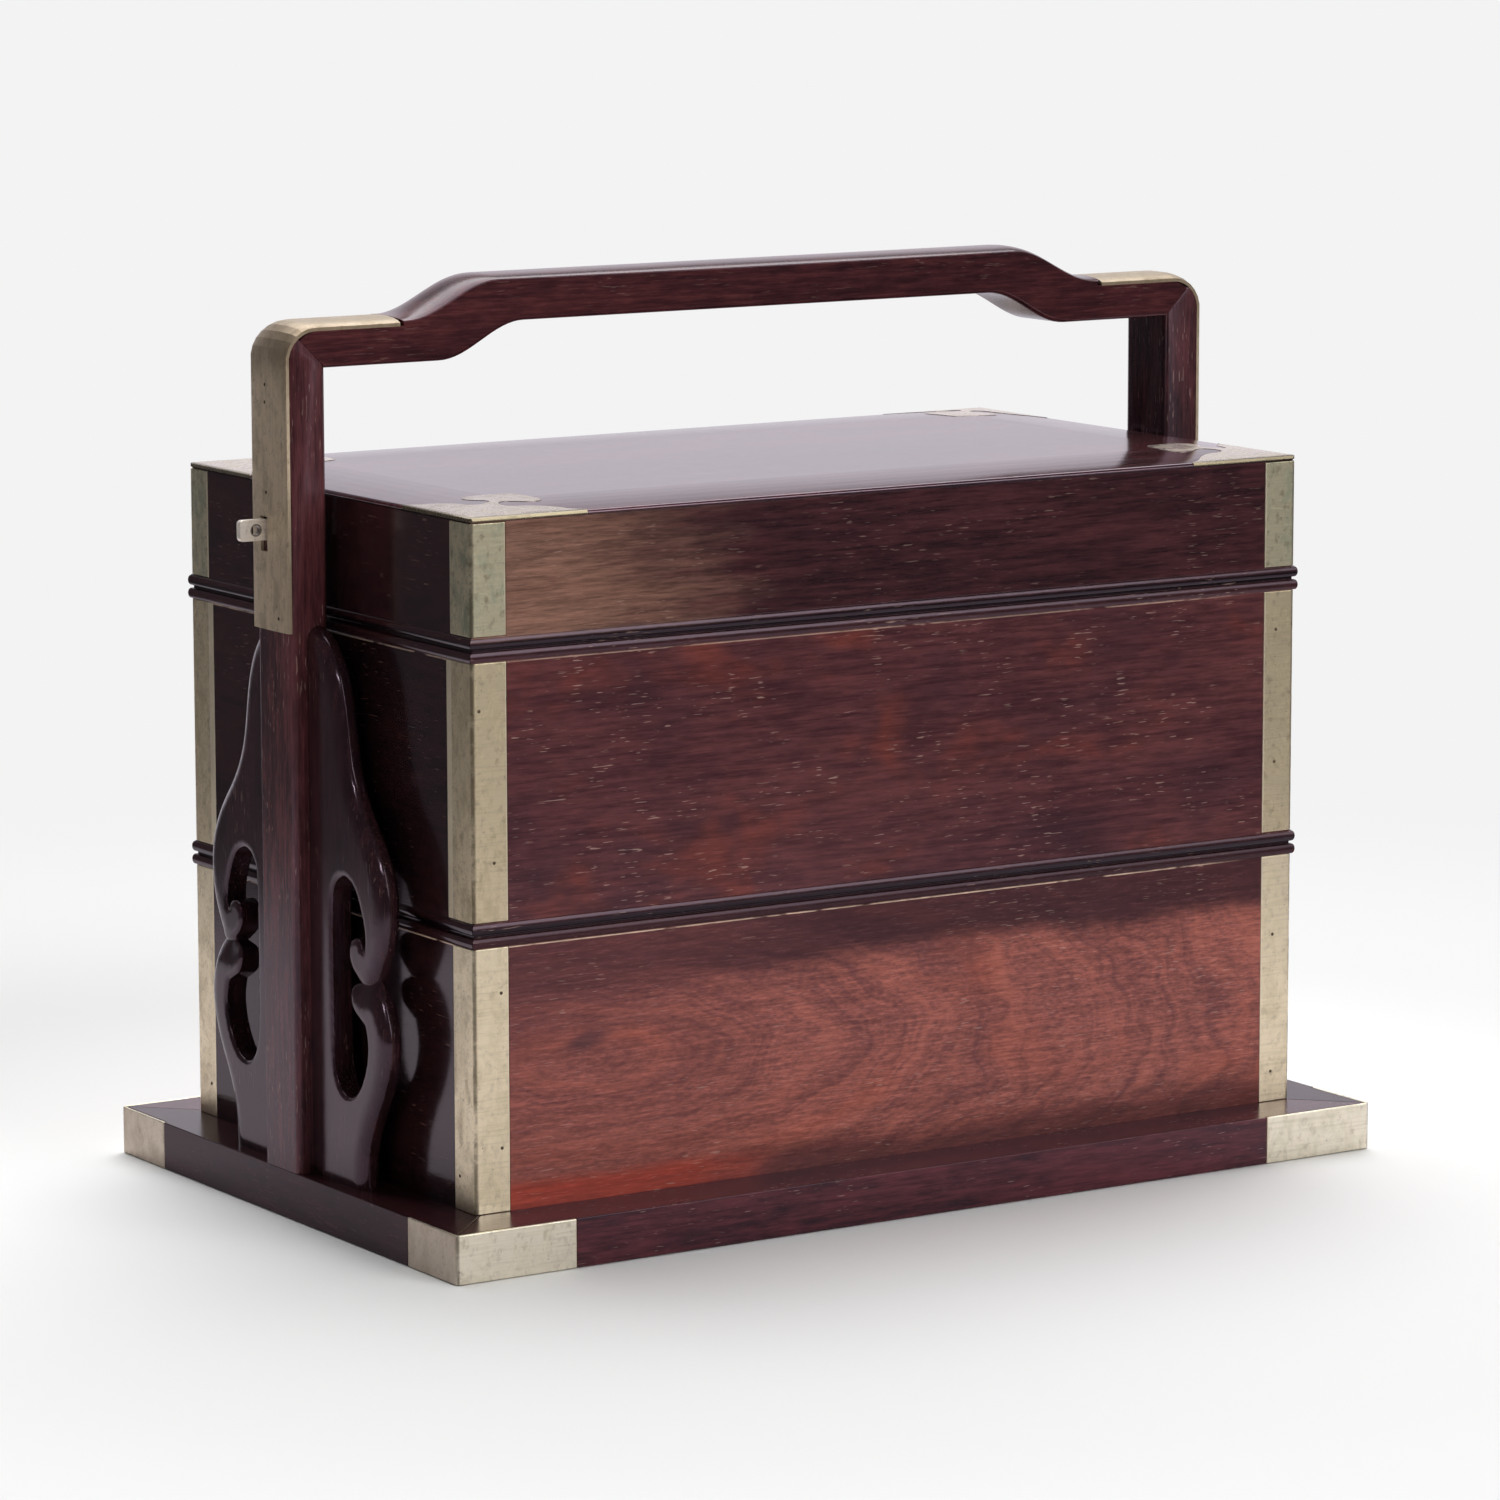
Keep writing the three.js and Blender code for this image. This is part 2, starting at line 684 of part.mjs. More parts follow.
function plateOutline() {
  const onPlate = ([along, across]) => new THREE.Vector2(
    (along + across) * plateLeg / Math.SQRT2,
    (along - across) * plateLeg / Math.SQRT2,
  );
  const mirrored = (shares) => shares.map(([along, across]) => [along, -across]).toReversed();
  const half = [...plateFlankShares, ...plateHeadShares];
  const shape = new THREE.Shape();
  shape.moveTo(-overrun, -overrun);
  shape.lineTo(plateLeg, -overrun);
  shape.lineTo(plateLeg, plateThickness);
  shape.splineThru([...half, [plateApexShare, 0]].map(onPlate));
  shape.splineThru(mirrored(half).map(onPlate));
  shape.lineTo(plateThickness, plateLeg);
  shape.lineTo(-overrun, plateLeg);
  return shape;
}

// The outline moved outward along its normals, for the recess that takes the plate
function grownShape(shape, distance) {
  const points = shape.extractPoints(2).shape;
  const grown = points.map((point, i) => {
    const before = points[(i + points.length - 1) % points.length];
    const after = points[(i + 1) % points.length];
    const run = after.clone().sub(before).normalize();
    return new THREE.Vector2(point.x + run.y * distance, point.y - run.x * distance);
  });
  return new THREE.Shape(grown);
}

function platePrism(distance) {
  const height = lipThickness + crownRise + overrun;
  const geometry = extrude(grownShape(plateOutline(), distance), height, 0, 1);
  geometry.translate(0, 0, lidSideHeight + height / 2);
  return geometry;
}

function atCorner(geometry, { x, y, turn }) {
  return geometry.clone().rotateZ(turn).translate(x, y, 0);
}

function lidTop(corners) {
  const recessFloor = toSolid(crownSkin(mountProud - plateThickness - inlayGap));
  const halfLength = boxHalfLength - lidLedge - inlayGap;
  const halfDepth = boxHalfDepth - lidLedge - inlayGap;
  const rings = crownRings(0);
  let board = toSolid(stackedRectangles([
    [halfLength, halfDepth, lidSideHeight - lidBoardDrop],
    [halfLength, halfDepth, lidSideHeight],
    [rings[0][0], rings[0][1], lidSideHeight],
    ...rings,
  ])).intersect(lidProfile(0));
  for (const corner of corners) {
    const prism = toSolid(atCorner(platePrism(inlayGap), corner));
    board = board.subtract(prism.subtract(recessFloor));
  }
  return toGeometry(board);
}

function lidPlate(corner) {
  const skin = toSolid(crownSkin(mountProud)).intersect(lidProfile(mountProud));
  const under = toSolid(crownSkin(mountProud - plateThickness));
  return toGeometry(toSolid(atCorner(platePrism(0), corner)).intersect(skin).subtract(under));
}

function addLid(group) {
  const strapLow = strapFootRise;
  const strapHigh = lidSideHeight - quirkHeight - inlayGap;
  for (const { side, length, ...place } of frameSides(boxHalfLength, boxHalfDepth)) {
    const tools = mountRecesses(length, strapLeg, strapLow, strapHigh);
    if (side === 'left' || side === 'right') {
      const aside = side === 'left' ? -boltCentreAside : boltCentreAside;
      const width = boltThickness + 2 * slipGap;
      const middle = boltCentreHeight - lidFoot;
      const height = boltHeight + 2 * slipGap;
      tools.push(block(
        [aside - width / 2, -overrun, middle - height / 2],
        [aside + width / 2, lidMortiseDepth, middle + height / 2],
      ));
    }
    addMesh(group, `lid_${side}`, cut(mitredBoard(lidSection(), length), tools), wood, place);
  }
  const corners = frameCorners(boxHalfLength, boxHalfDepth);
  addMesh(group, 'lid_top', lidTop(corners), wood);
  addCornerMounts(group, 'lid_strap', boxHalfLength, boxHalfDepth, strapLeg, strapLeg, strapLow, strapHigh);
  for (const corner of corners) {
    addMesh(group, `lid_plate_${corner.corner}`, lidPlate(corner), paleMetal);
  }
}

// The box as it stands: carrier, lower tray, upper tray and lid
const carrier = new THREE.Group();
addBase(carrier);
addCarrier(carrier);

const lowerTray = new THREE.Group();
lowerTray.position.z = baseHeight;
addTray(lowerTray, 'lower_tray', lowerTraySection(), strapLeg, 0, lowerHeight - mouldingHeight);

const upperTray = new THREE.Group();
upperTray.position.z = upperFoot;
addTray(upperTray, 'upper_tray', upperTraySection(), upperStrapSideLeg, strapFootRise, upperHeight - mouldingHeight);

const lid = new THREE.Group();
lid.position.z = lidFoot;
addLid(lid);

const group = new THREE.Group();
group.add(carrier, lowerTray, upperTray, lid);

export default group;
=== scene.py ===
import math
from collections import Counter

import bmesh
import bpy
from mathutils import Matrix, Vector
from mathutils.geometry import delaunay_2d_cdt
from mathutils.kdtree import KDTree


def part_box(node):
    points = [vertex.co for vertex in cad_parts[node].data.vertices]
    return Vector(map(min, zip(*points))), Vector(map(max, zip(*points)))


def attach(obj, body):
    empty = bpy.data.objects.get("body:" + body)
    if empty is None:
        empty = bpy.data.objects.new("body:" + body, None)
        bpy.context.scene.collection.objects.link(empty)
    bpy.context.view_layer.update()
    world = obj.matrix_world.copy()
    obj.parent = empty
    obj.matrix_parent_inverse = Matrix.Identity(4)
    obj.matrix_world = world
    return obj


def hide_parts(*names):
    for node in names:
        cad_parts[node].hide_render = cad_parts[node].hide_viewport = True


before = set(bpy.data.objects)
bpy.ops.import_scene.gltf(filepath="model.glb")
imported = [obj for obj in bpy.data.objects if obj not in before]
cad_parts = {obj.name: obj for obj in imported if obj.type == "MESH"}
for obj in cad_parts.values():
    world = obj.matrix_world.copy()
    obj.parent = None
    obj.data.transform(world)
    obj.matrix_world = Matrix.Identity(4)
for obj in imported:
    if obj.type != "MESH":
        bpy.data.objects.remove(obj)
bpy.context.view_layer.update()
scene = bpy.context.scene
scene.view_settings.view_transform = "Standard"

# Camera
# A long lens low at the front left corner, a little above the box and looking down on it.
# It sees the front, the left end and a sliver of the lid's top.
camera_eye = (-1.10899, -1.73626, 0.46177)
camera_azimuth = math.radians(32.611)
camera_fall = math.radians(9.021)
camera_roll = math.radians(-0.108)
camera_data = bpy.data.cameras.new("camera")
camera_data.lens = 152.03
camera_data.sensor_width = 36.0
camera_data.clip_end = 40.0
camera = bpy.data.objects.new("camera", camera_data)
turn = Matrix.Rotation(-camera_azimuth, 4, "Z")
tilt = Matrix.Rotation(math.radians(90) - camera_fall, 4, "X")
roll = Matrix.Rotation(camera_roll, 4, "Z")
camera.matrix_world = Matrix.Translation(camera_eye) @ turn @ tilt @ roll
scene.collection.objects.link(camera)
scene.camera = camera

# Backdrop, floor and light
# A flat pale backdrop, a matt floor that takes the soft shadow, and large soft lamps.
# The rest of the room is dark, so the left end and the upper boards mirror very little.
backdrop_grey, room_grey, mirrored_grey = 0.896, 0.04, 0.09
backdrop_way = (math.sin(camera_azimuth), math.cos(camera_azimuth), 0.0)
backdrop_spread = (0.506, 0.891)
mirror_tint = (1.0, 0.955, 1.04, 1.0)
# The rise over which the ceiling darkens in mirrors, and by how much.
ceiling_spread, ceiling_share = (0.22, 0.5), 0.85
near_mirrored = (0.70, 0.66, 0.70, 1.0)
near_paper, far_paper = 0.93, 0.82
floor_radius, floor_sides, floor_drop = 3.0, 96, 0.0002
# How far from the middle the floor darkens, turns into the flat backdrop and leaves the mirrors.
paper_fade, floor_fade, mirror_fade = (0.2, 0.4), (0.42, 0.75), (0.46, 0.66)
box_middle = Vector((0.0, 0.0, 0.12))


class Value:
    """A socket of a node tree, whose sums and products add Math nodes."""

    def __init__(self, shader, socket):
        self.shader = shader
        self.socket = socket

    def __add__(self, other):
        return self.shader.maths("ADD", self, other)

    def __radd__(self, other):
        return self.shader.maths("ADD", other, self)

    def __sub__(self, other):
        return self.shader.maths("SUBTRACT", self, other)

    def __rsub__(self, other):
        return self.shader.maths("SUBTRACT", other, self)

    def __mul__(self, other):
        return self.shader.maths("MULTIPLY", self, other)

    def __rmul__(self, other):
        return self.shader.maths("MULTIPLY", other, self)


class Shader:
    """The node tree of one finish. Every node is added by its method node."""

    def __init__(self, owner):
        owner.use_nodes = True
        self.tree = owner.node_tree
        self.tree.nodes.clear()

    def node(self, kind, settings, inputs, output=0):
        """A node with its settings, and the values or links of its sockets. Gives one of its outputs."""
        node = self.tree.nodes.new("ShaderNode" + kind)
        for name, value in settings.items():
            setattr(node, name, value)
        for name, value in inputs.items():
            if isinstance(value, Value):
                self.tree.links.new(value.socket, node.inputs[name])
            else:
                node.inputs[name].default_value = value
        if node.outputs:
            return Value(self, node.outputs[output])

    def maths(self, operation, first, second=0.0):
        return self.node("Math", {"operation": operation}, {0: first, 1: second})

    def step(self, value, low, high):
        """0 below low and 1 above high, with a smooth rise between."""
        limits = {"From Min": low, "From Max": high}
        return self.node("MapRange", {"interpolation_type": "SMOOTHSTEP"}, {"Value": value, **limits})

    def fade(self, value, low, high):
        """1 below low and 0 above high, with a smooth fall between."""
        return 1.0 - self.step(value, low, high)

    def within(self, value, low, high, soft):
        """1 between low and high, with soft ends."""
        return self.step(value, low - soft, low + soft) * self.fade(value, high - soft, high + soft)

    def mix(self, factor, first, second, way="MIX"):
        settings = {"data_type": "RGBA", "blend_type": way}
        return self.node("Mix", settings, {0: factor, 6: first, 7: second}, 2)

    def vector(self, operation, first, second=(0.0, 0.0, 0.0), output=0):
        return self.node("VectorMath", {"operation": operation}, {0: first, 1: second}, output)

    def length(self, vector):
        return self.vector("LENGTH", vector, output="Value")

    def split(self, vector):
        """The parts of a vector along x, y and z."""
        parts = self.node("SeparateXYZ", {}, {0: vector}).socket.node
        return [Value(self, socket) for socket in parts.outputs]

    def join(self, x, y, z):
        return self.node("CombineXYZ", {}, {0: x, 1: y, 2: z})

    def place(self):
        """The place on the object, in metres."""
        return self.node("TexCoord", {}, {}, "Object")

    def noise(self, place, waves, detail=3.0, roughness=0.6, distortion=0.0):
        """Noise from 0 to 1, with its number of waves in a metre along each axis."""
        inputs = {"Vector": self.vector("MULTIPLY", place, waves), "Scale": 1.0, "Detail": detail}
        return self.node("TexNoise", {}, {**inputs, "Roughness": roughness, "Distortion": distortion})

    def show(self, surface, kind="Material"):
        self.node("Output" + kind, {}, {"Surface": surface})


def grey(level):
    return (level, level, level, 1.0)


def ray(shader, *kinds):
    """1 for rays of the named kinds, and 0 for all others."""
    flags = [shader.node("LightPath", {}, {}, "Is " + kind + " Ray") for kind in kinds]
    return sum(flags[1:], flags[0])


def towards_backdrop(shader, vector):
    """1 for what lies on the backdrop's side of the object."""
    level = shader.vector("MULTIPLY", vector, (1.0, 1.0, 0.0))
    way = shader.vector("NORMALIZE", level)
    return shader.step(shader.vector("DOT_PRODUCT", way, backdrop_way, "Value"), *backdrop_spread)


world = bpy.data.worlds.new("studio")
scene.world = world
sky = Shader(world)
direction = sky.node("TexCoord", {}, {}, "Generated")
overhead = sky.step(sky.split(direction)[2], *ceiling_spread)
backdrop_side = towards_backdrop(sky, direction)
room = sky.mix(backdrop_side, grey(room_grey), grey(backdrop_grey))
lit_side = backdrop_side * (1.0 - overhead * ceiling_share)
mirrored_room = sky.mix(lit_side, grey(mirrored_grey), grey(backdrop_grey))
mirrored_room = sky.mix(1.0, mirrored_room, mirror_tint, "MULTIPLY")
room = sky.mix(ray(sky, "Glossy"), room, mirrored_room)
seen = sky.mix(ray(sky, "Camera", "Transmission"), room, grey(backdrop_grey))
sky.show(sky.node("Background", {}, {"Color": seen, "Strength": 1.0}), "World")


def disc(name, radius, sides):
    """A flat round sheet at z = 0."""
    mesh = bpy.data.meshes.new(name)
    bm = bmesh.new()
    bmesh.ops.create_circle(bm, cap_ends=True, radius=radius, segments=sides)
    bm.to_mesh(mesh)
    bm.free()
    piece = bpy.data.objects.new(name, mesh)
    scene.collection.objects.link(piece)
    return piece


floor = disc("floor", floor_radius, floor_sides)
floor.location.z = -floor_drop
paper = bpy.data.materials.new("paper")
sheet = Shader(paper)
place = sheet.place()
away = sheet.length(place)
beyond = sheet.step(away, *mirror_fade) * (1.0 - towards_backdrop(sheet, place))
mirrored = sheet.mix(beyond, grey(backdrop_grey), grey(mirrored_grey))
mirrored = sheet.mix(1.0, mirrored, mirror_tint, "MULTIPLY")
shown = sheet.mix(ray(sheet, "Glossy"), grey(backdrop_grey), mirrored)
plain = sheet.step(away, *floor_fade) * (ray(sheet, "Camera", "Transmission") + ray(sheet, "Glossy"))
near = sheet.mix(sheet.step(away, *paper_fade), grey(near_paper), grey(far_paper))
near = sheet.mix(ray(sheet, "Glossy"), near, near_mirrored)
matt = sheet.node("BsdfDiffuse", {}, {"Color": near})
flat = sheet.node("Emission", {}, {"Color": shown, "Strength": 1.0})
sheet.show(sheet.node("MixShader", {}, {0: plain, 1: matt, 2: flat}))
floor.data.materials.append(paper)


def aimed(name, kind, place, strength, size):
    """A lamp that points from place at the box. A sun's size is in degrees and a disc's in metres."""
    lamp_data = bpy.data.lights.new(name, kind)
    lamp_data.energy = strength
    if kind == "SUN":
        lamp_data.angle = math.radians(size)
    else:
        lamp_data.shape = "DISK"
        lamp_data.size = size
    lamp = bpy.data.objects.new(name, lamp_data)
    lamp.location = place
    way = box_middle - Vector(place)
    lamp.rotation_euler = way.to_track_quat("-Z", "Y").to_euler()
    lamp.visible_camera = False
    scene.collection.objects.link(lamp)


aimed("top_lamp", "SUN", (0.6, 1.15, 2.6), strength=2.5, size=60.0)
aimed("front_lamp", "SUN", (0.9, -2.4, 1.3), strength=1.5, size=40.0)
aimed("left_lamp", "AREA", (-1.7, -1.1, 1.3), strength=3.0, size=0.25)

# Base frame
# Four mitred rails of dark hardwood round a plain panel, with a sheet mount on each corner.
# The rails are polished, and those at the ends take a nearly black copy of the wood: painted shade.
pore_depth = 0.0003
weld_gap = 0.000005
flat_angle, sharp_angle = math.radians(0.6), math.radians(35.0)
# Reach from a sheet's fold of its painted highlight and of the painted shade beside it, and of the highlight
# at its edges.
fold_edge = (0.0006, 0.0009)
fold_shade_start, fold_shade_end = (0.0006, 0.0008), (0.0010, 0.0013)
rim_start, rim_full = 0.0007, 0.0003


def tint(red, green, blue):
    """A colour written as it looks on the screen, from 0 to 255, as the shader takes it."""
    shares = [part / 255.0 for part in (red, green, blue)]
    linear = [s / 12.92 if s <= 0.04045 else ((s + 0.055) / 1.055) ** 2.4 for s in shares]
    return (*linear, 1.0)


near_black, plum, pale_glint = tint(34, 17, 19), tint(76, 34, 34), tint(196, 164, 148)
violet = (1.0, 0.78, 0.95, 1.0)
fold_highlight, fold_shade_brown = tint(250, 238, 208), tint(96, 84, 64)
brown_smudge, brown_speck = tint(128, 112, 88), tint(84, 70, 56)


def waves(axis, across, along):
    """Waves in a metre of a pattern that is drawn out along an axis: 0, 1 or 2."""
    return tuple(along if each == axis else across for each in range(3))


def hardwood(name, grain, dark, warm, gloss=0.24, flecks=0.5, relief=1.0, paint=None, shine=0.5):
    """Polished hardwood between a dark and a warm colour. grain is the axis along the board: 0, 1 or 2.

    flecks is the share of its pale glints, relief the depth of its pores and shine the strength of what
    the polish mirrors. paint is a function that lays more colour over the grain.
    """
    finish = bpy.data.materials.new(name)
    wood = Shader(finish)
    place = wood.place()
    broad = wood.noise(place, waves(grain, 34.0, 6.0), roughness=0.55, distortion=0.3)
    patches = wood.noise(place, waves(grain, 80.0, 40.0), detail=2.0, roughness=0.5)
    mottle = wood.noise(place, waves(grain, 220.0, 90.0))
    streaks = wood.noise(place, waves(grain, 620.0, 40.0), detail=4.0, roughness=0.65)
    fibre = wood.noise(place, waves(grain, 1700.0, 150.0))
    dashes = wood.noise(place, waves(grain, 2000.0, 180.0), detail=1.0, roughness=0.5)
    tone = wood.step(broad * 0.45 + streaks * 0.3 + mottle * 0.25, 0.38, 0.62)
    colour = wood.mix(tone, dark, warm)
    if paint:
        colour = paint(wood, place, colour)
    lines = wood.step(streaks, 0.38, 0.62) * 0.45 + wood.step(fibre, 0.34, 0.66) * 0.55
    colour = wood.vector("MULTIPLY", colour, lines * (0.7 * relief) + (1.0 - 0.35 * relief))
    glints = wood.step(dashes, 0.66, 0.72) * wood.step(patches, 0.42, 0.64) * flecks
    colour = wood.mix(glints, colour, pale_glint)
    roughness = gloss + (fibre - 0.5) * 0.12 + glints * 0.2
    height = fibre * 0.5 + dashes * 0.2 + streaks * 0.5
    bump = wood.node("Bump", {}, {"Strength": 0.1 * relief, "Distance": pore_depth, "Height": height})
    polish = {"Specular IOR Level": shine, "Specular Tint": violet}
    surface = {"Base Color": colour, "Roughness": roughness, "Normal": bump, **polish}
    wood.show(wood.node("BsdfPrincipled", {}, surface))
    return finish


def fold_light_and_shade(metal, place, colour, weight, fold):
    """A sheet folded round a corner: a painted highlight at the fold and its outer edges, painted shade
    beside the fold.
    """
    corner_x, corner_y, reach = fold
    x, y, _ = metal.split(place)
    from_corner = corner_x + corner_y - metal.maths("ABSOLUTE", x) - metal.maths("ABSOLUTE", y)
    rim = metal.step(from_corner, reach - rim_start, reach - rim_full)
    highlight = metal.step(metal.fade(from_corner, *fold_edge) + rim, 0.0, 1.0)
    fold_shade = metal.step(from_corner, *fold_shade_start) * metal.fade(from_corner, *fold_shade_end)
    colour = metal.mix(highlight * 0.7, colour, fold_highlight)
    return metal.mix(fold_shade * weight * 0.7, colour, fold_shade_brown)


def white_metal(name, tone, stain, tarnish=0.6, gloss=0.34, metallic=0.9, brushed=0, fold=None, paint=None):
    """Pale nickel brass sheet with a thin mottled tarnish, brushed across an axis: 0, 1 or 2.

    tone is its colour where it is clean and stain where it is dull. fold is the corner (x, y) that the
    sheet is folded round and its reach from there, with a painted highlight at the fold and painted
    shade beside it. paint is a function that lays more colour over it.
    """
    finish = bpy.data.materials.new(name)
    metal = Shader(finish)
    place = metal.place()
    lines = metal.noise(place, waves(brushed, 1100.0, 50.0))
    cloud = metal.noise(place, (150.0, 150.0, 90.0), detail=5.0, roughness=0.65, distortion=0.4)
    smudge = metal.noise(place, (420.0, 420.0, 330.0))
    specks = metal.noise(place, (900.0, 900.0, 900.0), detail=2.0)
    dull = metal.step(cloud, 0.42, 0.68)
    colour = metal.mix(dull * tarnish, tone, stain)
    colour = metal.mix(metal.step(lines, 0.45, 0.72) * 0.3, colour, stain)
    colour = metal.mix(metal.step(smudge, 0.52, 0.72) * (0.75 * tarnish), colour, brown_smudge)
    colour = metal.mix(metal.step(specks, 0.68, 0.74) * 0.6, colour, brown_speck)
    # A painted highlight at the fold and the outer edges, and patchy painted shade beside the fold.
    if fold:
        colour = fold_light_and_shade(metal, place, colour, metal.step(cloud, 0.35, 0.55), fold)
    if paint:
        colour = paint(metal, place, colour)
    roughness = gloss + dull * 0.12 + (lines - 0.5) * 0.15
    height = lines * 0.7 + cloud * 0.3
    bump = metal.node("Bump", {}, {"Strength": 0.15, "Distance": pore_depth, "Height": height})
    surface = {"Base Color": colour, "Metallic": metallic, "Roughness": roughness, "Normal": bump}
    metal.show(metal.node("BsdfPrincipled", {}, surface))
    return finish


def dress(names, finish, softening=0.0003):
    """Gives carried-over pieces their finish and a small round on their sharp edges."""
    for name in names:
        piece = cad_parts[name]
        piece.data.materials.clear()
        piece.data.materials.append(finish)
        for face in piece.data.polygons:
            face.use_smooth = True
        weld = piece.modifiers.new("weld", "WELD")
        weld.merge_threshold = weld_gap
        flat = piece.modifiers.new("flat", "DECIMATE")
        flat.decimate_type = "DISSOLVE"
        flat.angle_limit = flat_angle
        if softening:
            edges = piece.modifiers.new("edges", "BEVEL")
            edges.width = softening
            edges.segments = 2
            edges.angle_limit = sharp_angle
            edges.limit_method = "ANGLE"
        piece.modifiers.new("normals", "WEIGHTED_NORMAL")


base_corner = tuple(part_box("base_mount_back_right")[1])[:2]
box_corner = tuple(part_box("lower_tray_strap_back_right")[1])[:2]
mount_reach = base_corner[0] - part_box("base_mount_back_right")[0].x
strap_reach = box_corner[0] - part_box("lower_tray_strap_back_right")[0].x
mount_fold = (*base_corner, mount_reach)
strap_fold = (*box_corner, strap_reach)
# Where the painted shade on the mounts' faces at the ends of the base starts and is full, and its colour.
end_start, end_full = base_corner[0] - 0.0004, base_corner[0] - 0.0002
end_shade_metal = tint(170, 152, 134)


def shaded_ends(metal, place, colour):
    """Painted shade: duller on the faces at the two ends of the base."""
    end = metal.step(metal.maths("ABSOLUTE", metal.split(place)[0]), end_start, end_full)
    return metal.mix(end * 0.6, colour, end_shade_metal)


base_wood = hardwood("base_wood", 0, tint(40, 20, 24), tint(84, 38, 42), flecks=0.35)
# The end rails' nearly black copy of the front rails' wood is painted shade.
shaded_base_end_wood = hardwood(
    "shaded_base_end_wood", 1, near_black, tint(58, 30, 34), gloss=0.22, flecks=0.1, relief=0.8, shine=0.28)
panel_wood = hardwood("panel_wood", 0, near_black, plum, gloss=0.3, flecks=0.2)
mount_metal = white_metal(
    "mount_metal", tint(252, 246, 224), tint(190, 182, 154), tarnish=0.4, metallic=0.95, fold=mount_fold,
    paint=shaded_ends)
corners = [fore + "_" + side for fore in ("front", "back") for side in ("left", "right")]
dress(("base_rail_front", "base_rail_back"), base_wood)
dress(("base_rail_left", "base_rail_right"), shaded_base_end_wood)
dress(("base_panel",), panel_wood)
dress(["base_mount_" + corner for corner in corners], mount_metal, softening=0.00035)

# Posts and humpback handle
# Two square posts and the bar that joins them, of the same hardwood. The bar rises in a long flat hump
# between two short flanks. Its top is domed, with a small round along each of its upper edges.
bar_low, bar_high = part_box("handle_bar")
strap_low, strap_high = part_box("handle_strap_right")
post_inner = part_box("post_right")[0].x
corner_radius, strap_thickness = 0.011, 0.0012
inner_radius = corner_radius - strap_thickness
# The hump's level half and the run of its slope, on the bar's top and on its underside.
hump_half, hump_run = 0.1, 0.034
under_half, under_run, under_rise = 0.0895, 0.031, 0.0113
arris_round, arris_steps = 0.0016, 4
edge_round, edge_turn, edge_steps = 0.0005, 60, 3
crown = 0.0021
dome_shares = (0.955, 0.91, 0.85, 0.76, 0.65, 0.5, 0.35, 0.18, 0.0)
dome_limit, side_dome = 0.985, 0.2
# Where the bar's cross-sections lie: level, down the slope, at the strap's end and on to the corner.
level_steps, slope_steps = 4, 16
seat_step = (0.0003, 0.00001)
mitre_shares = (0.2, 0.4, 0.6, 0.75, 0.82, 0.87, 0.91, 0.94, 0.97, 1.0)
# Where the painted shade on the straps' top and at their bend starts and is full, and its colours.
top_start, top_full = strap_high.z - 0.002, strap_high.z - 0.0005
bend_start, bend_full = strap_high.z - 0.022, strap_high.z - 0.008
top_shade, bend_shade = tint(158, 144, 120), tint(120, 102, 78)


def shaded_top_and_bend(metal, place, colour):
    """Painted shade: duller on top of the bar, and brown at the bend."""
    height = metal.split(place)[2]
    top = metal.step(height, top_start, top_full)
    bend = metal.step(height, bend_start, bend_full) * (1.0 - top)
    colour = metal.mix(top * 0.7, colour, top_shade)
    return metal.mix(bend * 0.6, colour, bend_shade)


post_wood = hardwood("post_wood", 2, tint(44, 24, 27), tint(86, 46, 48), flecks=0.3)
handle_wood = hardwood(
    "handle_wood", 0, tint(50, 22, 25), tint(88, 42, 42), gloss=0.2, flecks=0.12, relief=0.8, shine=0.4)
post_metal = white_metal(
    "post_metal", tint(206, 186, 160), tint(146, 130, 106), gloss=0.36, metallic=0.6, brushed=2,
    paint=shaded_top_and_bend)
dress(("post_left", "post_right"), post_wood, softening=0.0)


def loose(name, points, faces, finish, slot, body, sharp=38.0):
    """A new piece of a body, smooth but for its edges sharper than the angle in degrees."""
    mesh = bpy.data.meshes.new(name)
    mesh.from_pydata(points, [], faces)
    bm = bmesh.new()
    bm.from_mesh(mesh)
    bmesh.ops.recalc_face_normals(bm, faces=bm.faces)
    bm.to_mesh(mesh)
    bm.free()
    mesh.shade_smooth()
    mesh.set_sharp_from_angle(angle=math.radians(sharp))
    mesh.materials.append(finish)
    piece = bpy.data.objects.new(name, mesh)
    piece.modifiers.new("normals", "WEIGHTED_NORMAL").keep_sharp = True
    scene.collection.objects.link(piece)
    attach(piece, body)
    return piece


def arc(centre, radius, start, end, steps):
    """Points of an arc, its angles in degrees."""
    turns = [math.radians(start + (end - start) * i / steps) for i in range(steps + 1)]
    return [(centre[0] + radius * math.cos(t), centre[1] + radius * math.sin(t)) for t in turns]


def along_hump(x, half, run, rise, foot):
    """Height of the bar's top or underside at x."""
    share = min(max((x - half) / run, 0.0), 1.0)
    return foot + rise * (1.0 + math.cos(math.pi * share)) / 2


def head_height(x):
    """Height of the bar's top at x, lower under the strap and round the outer corner."""
    height = along_hump(x, hump_half, hump_run, bar_high.z - strap_high.z, strap_high.z)
    if x > strap_low.x:
        height -= strap_thickness
    beyond = max(x - (strap_high.x - corner_radius), 0.0)
    return height - inner_radius + math.sqrt(inner_radius ** 2 - beyond ** 2)


def domed(share):
    """How far the dome has fallen at a share of its half width."""
    return crown * (1.0 - math.sqrt(max(1.0 - share ** 2, 0.0)))


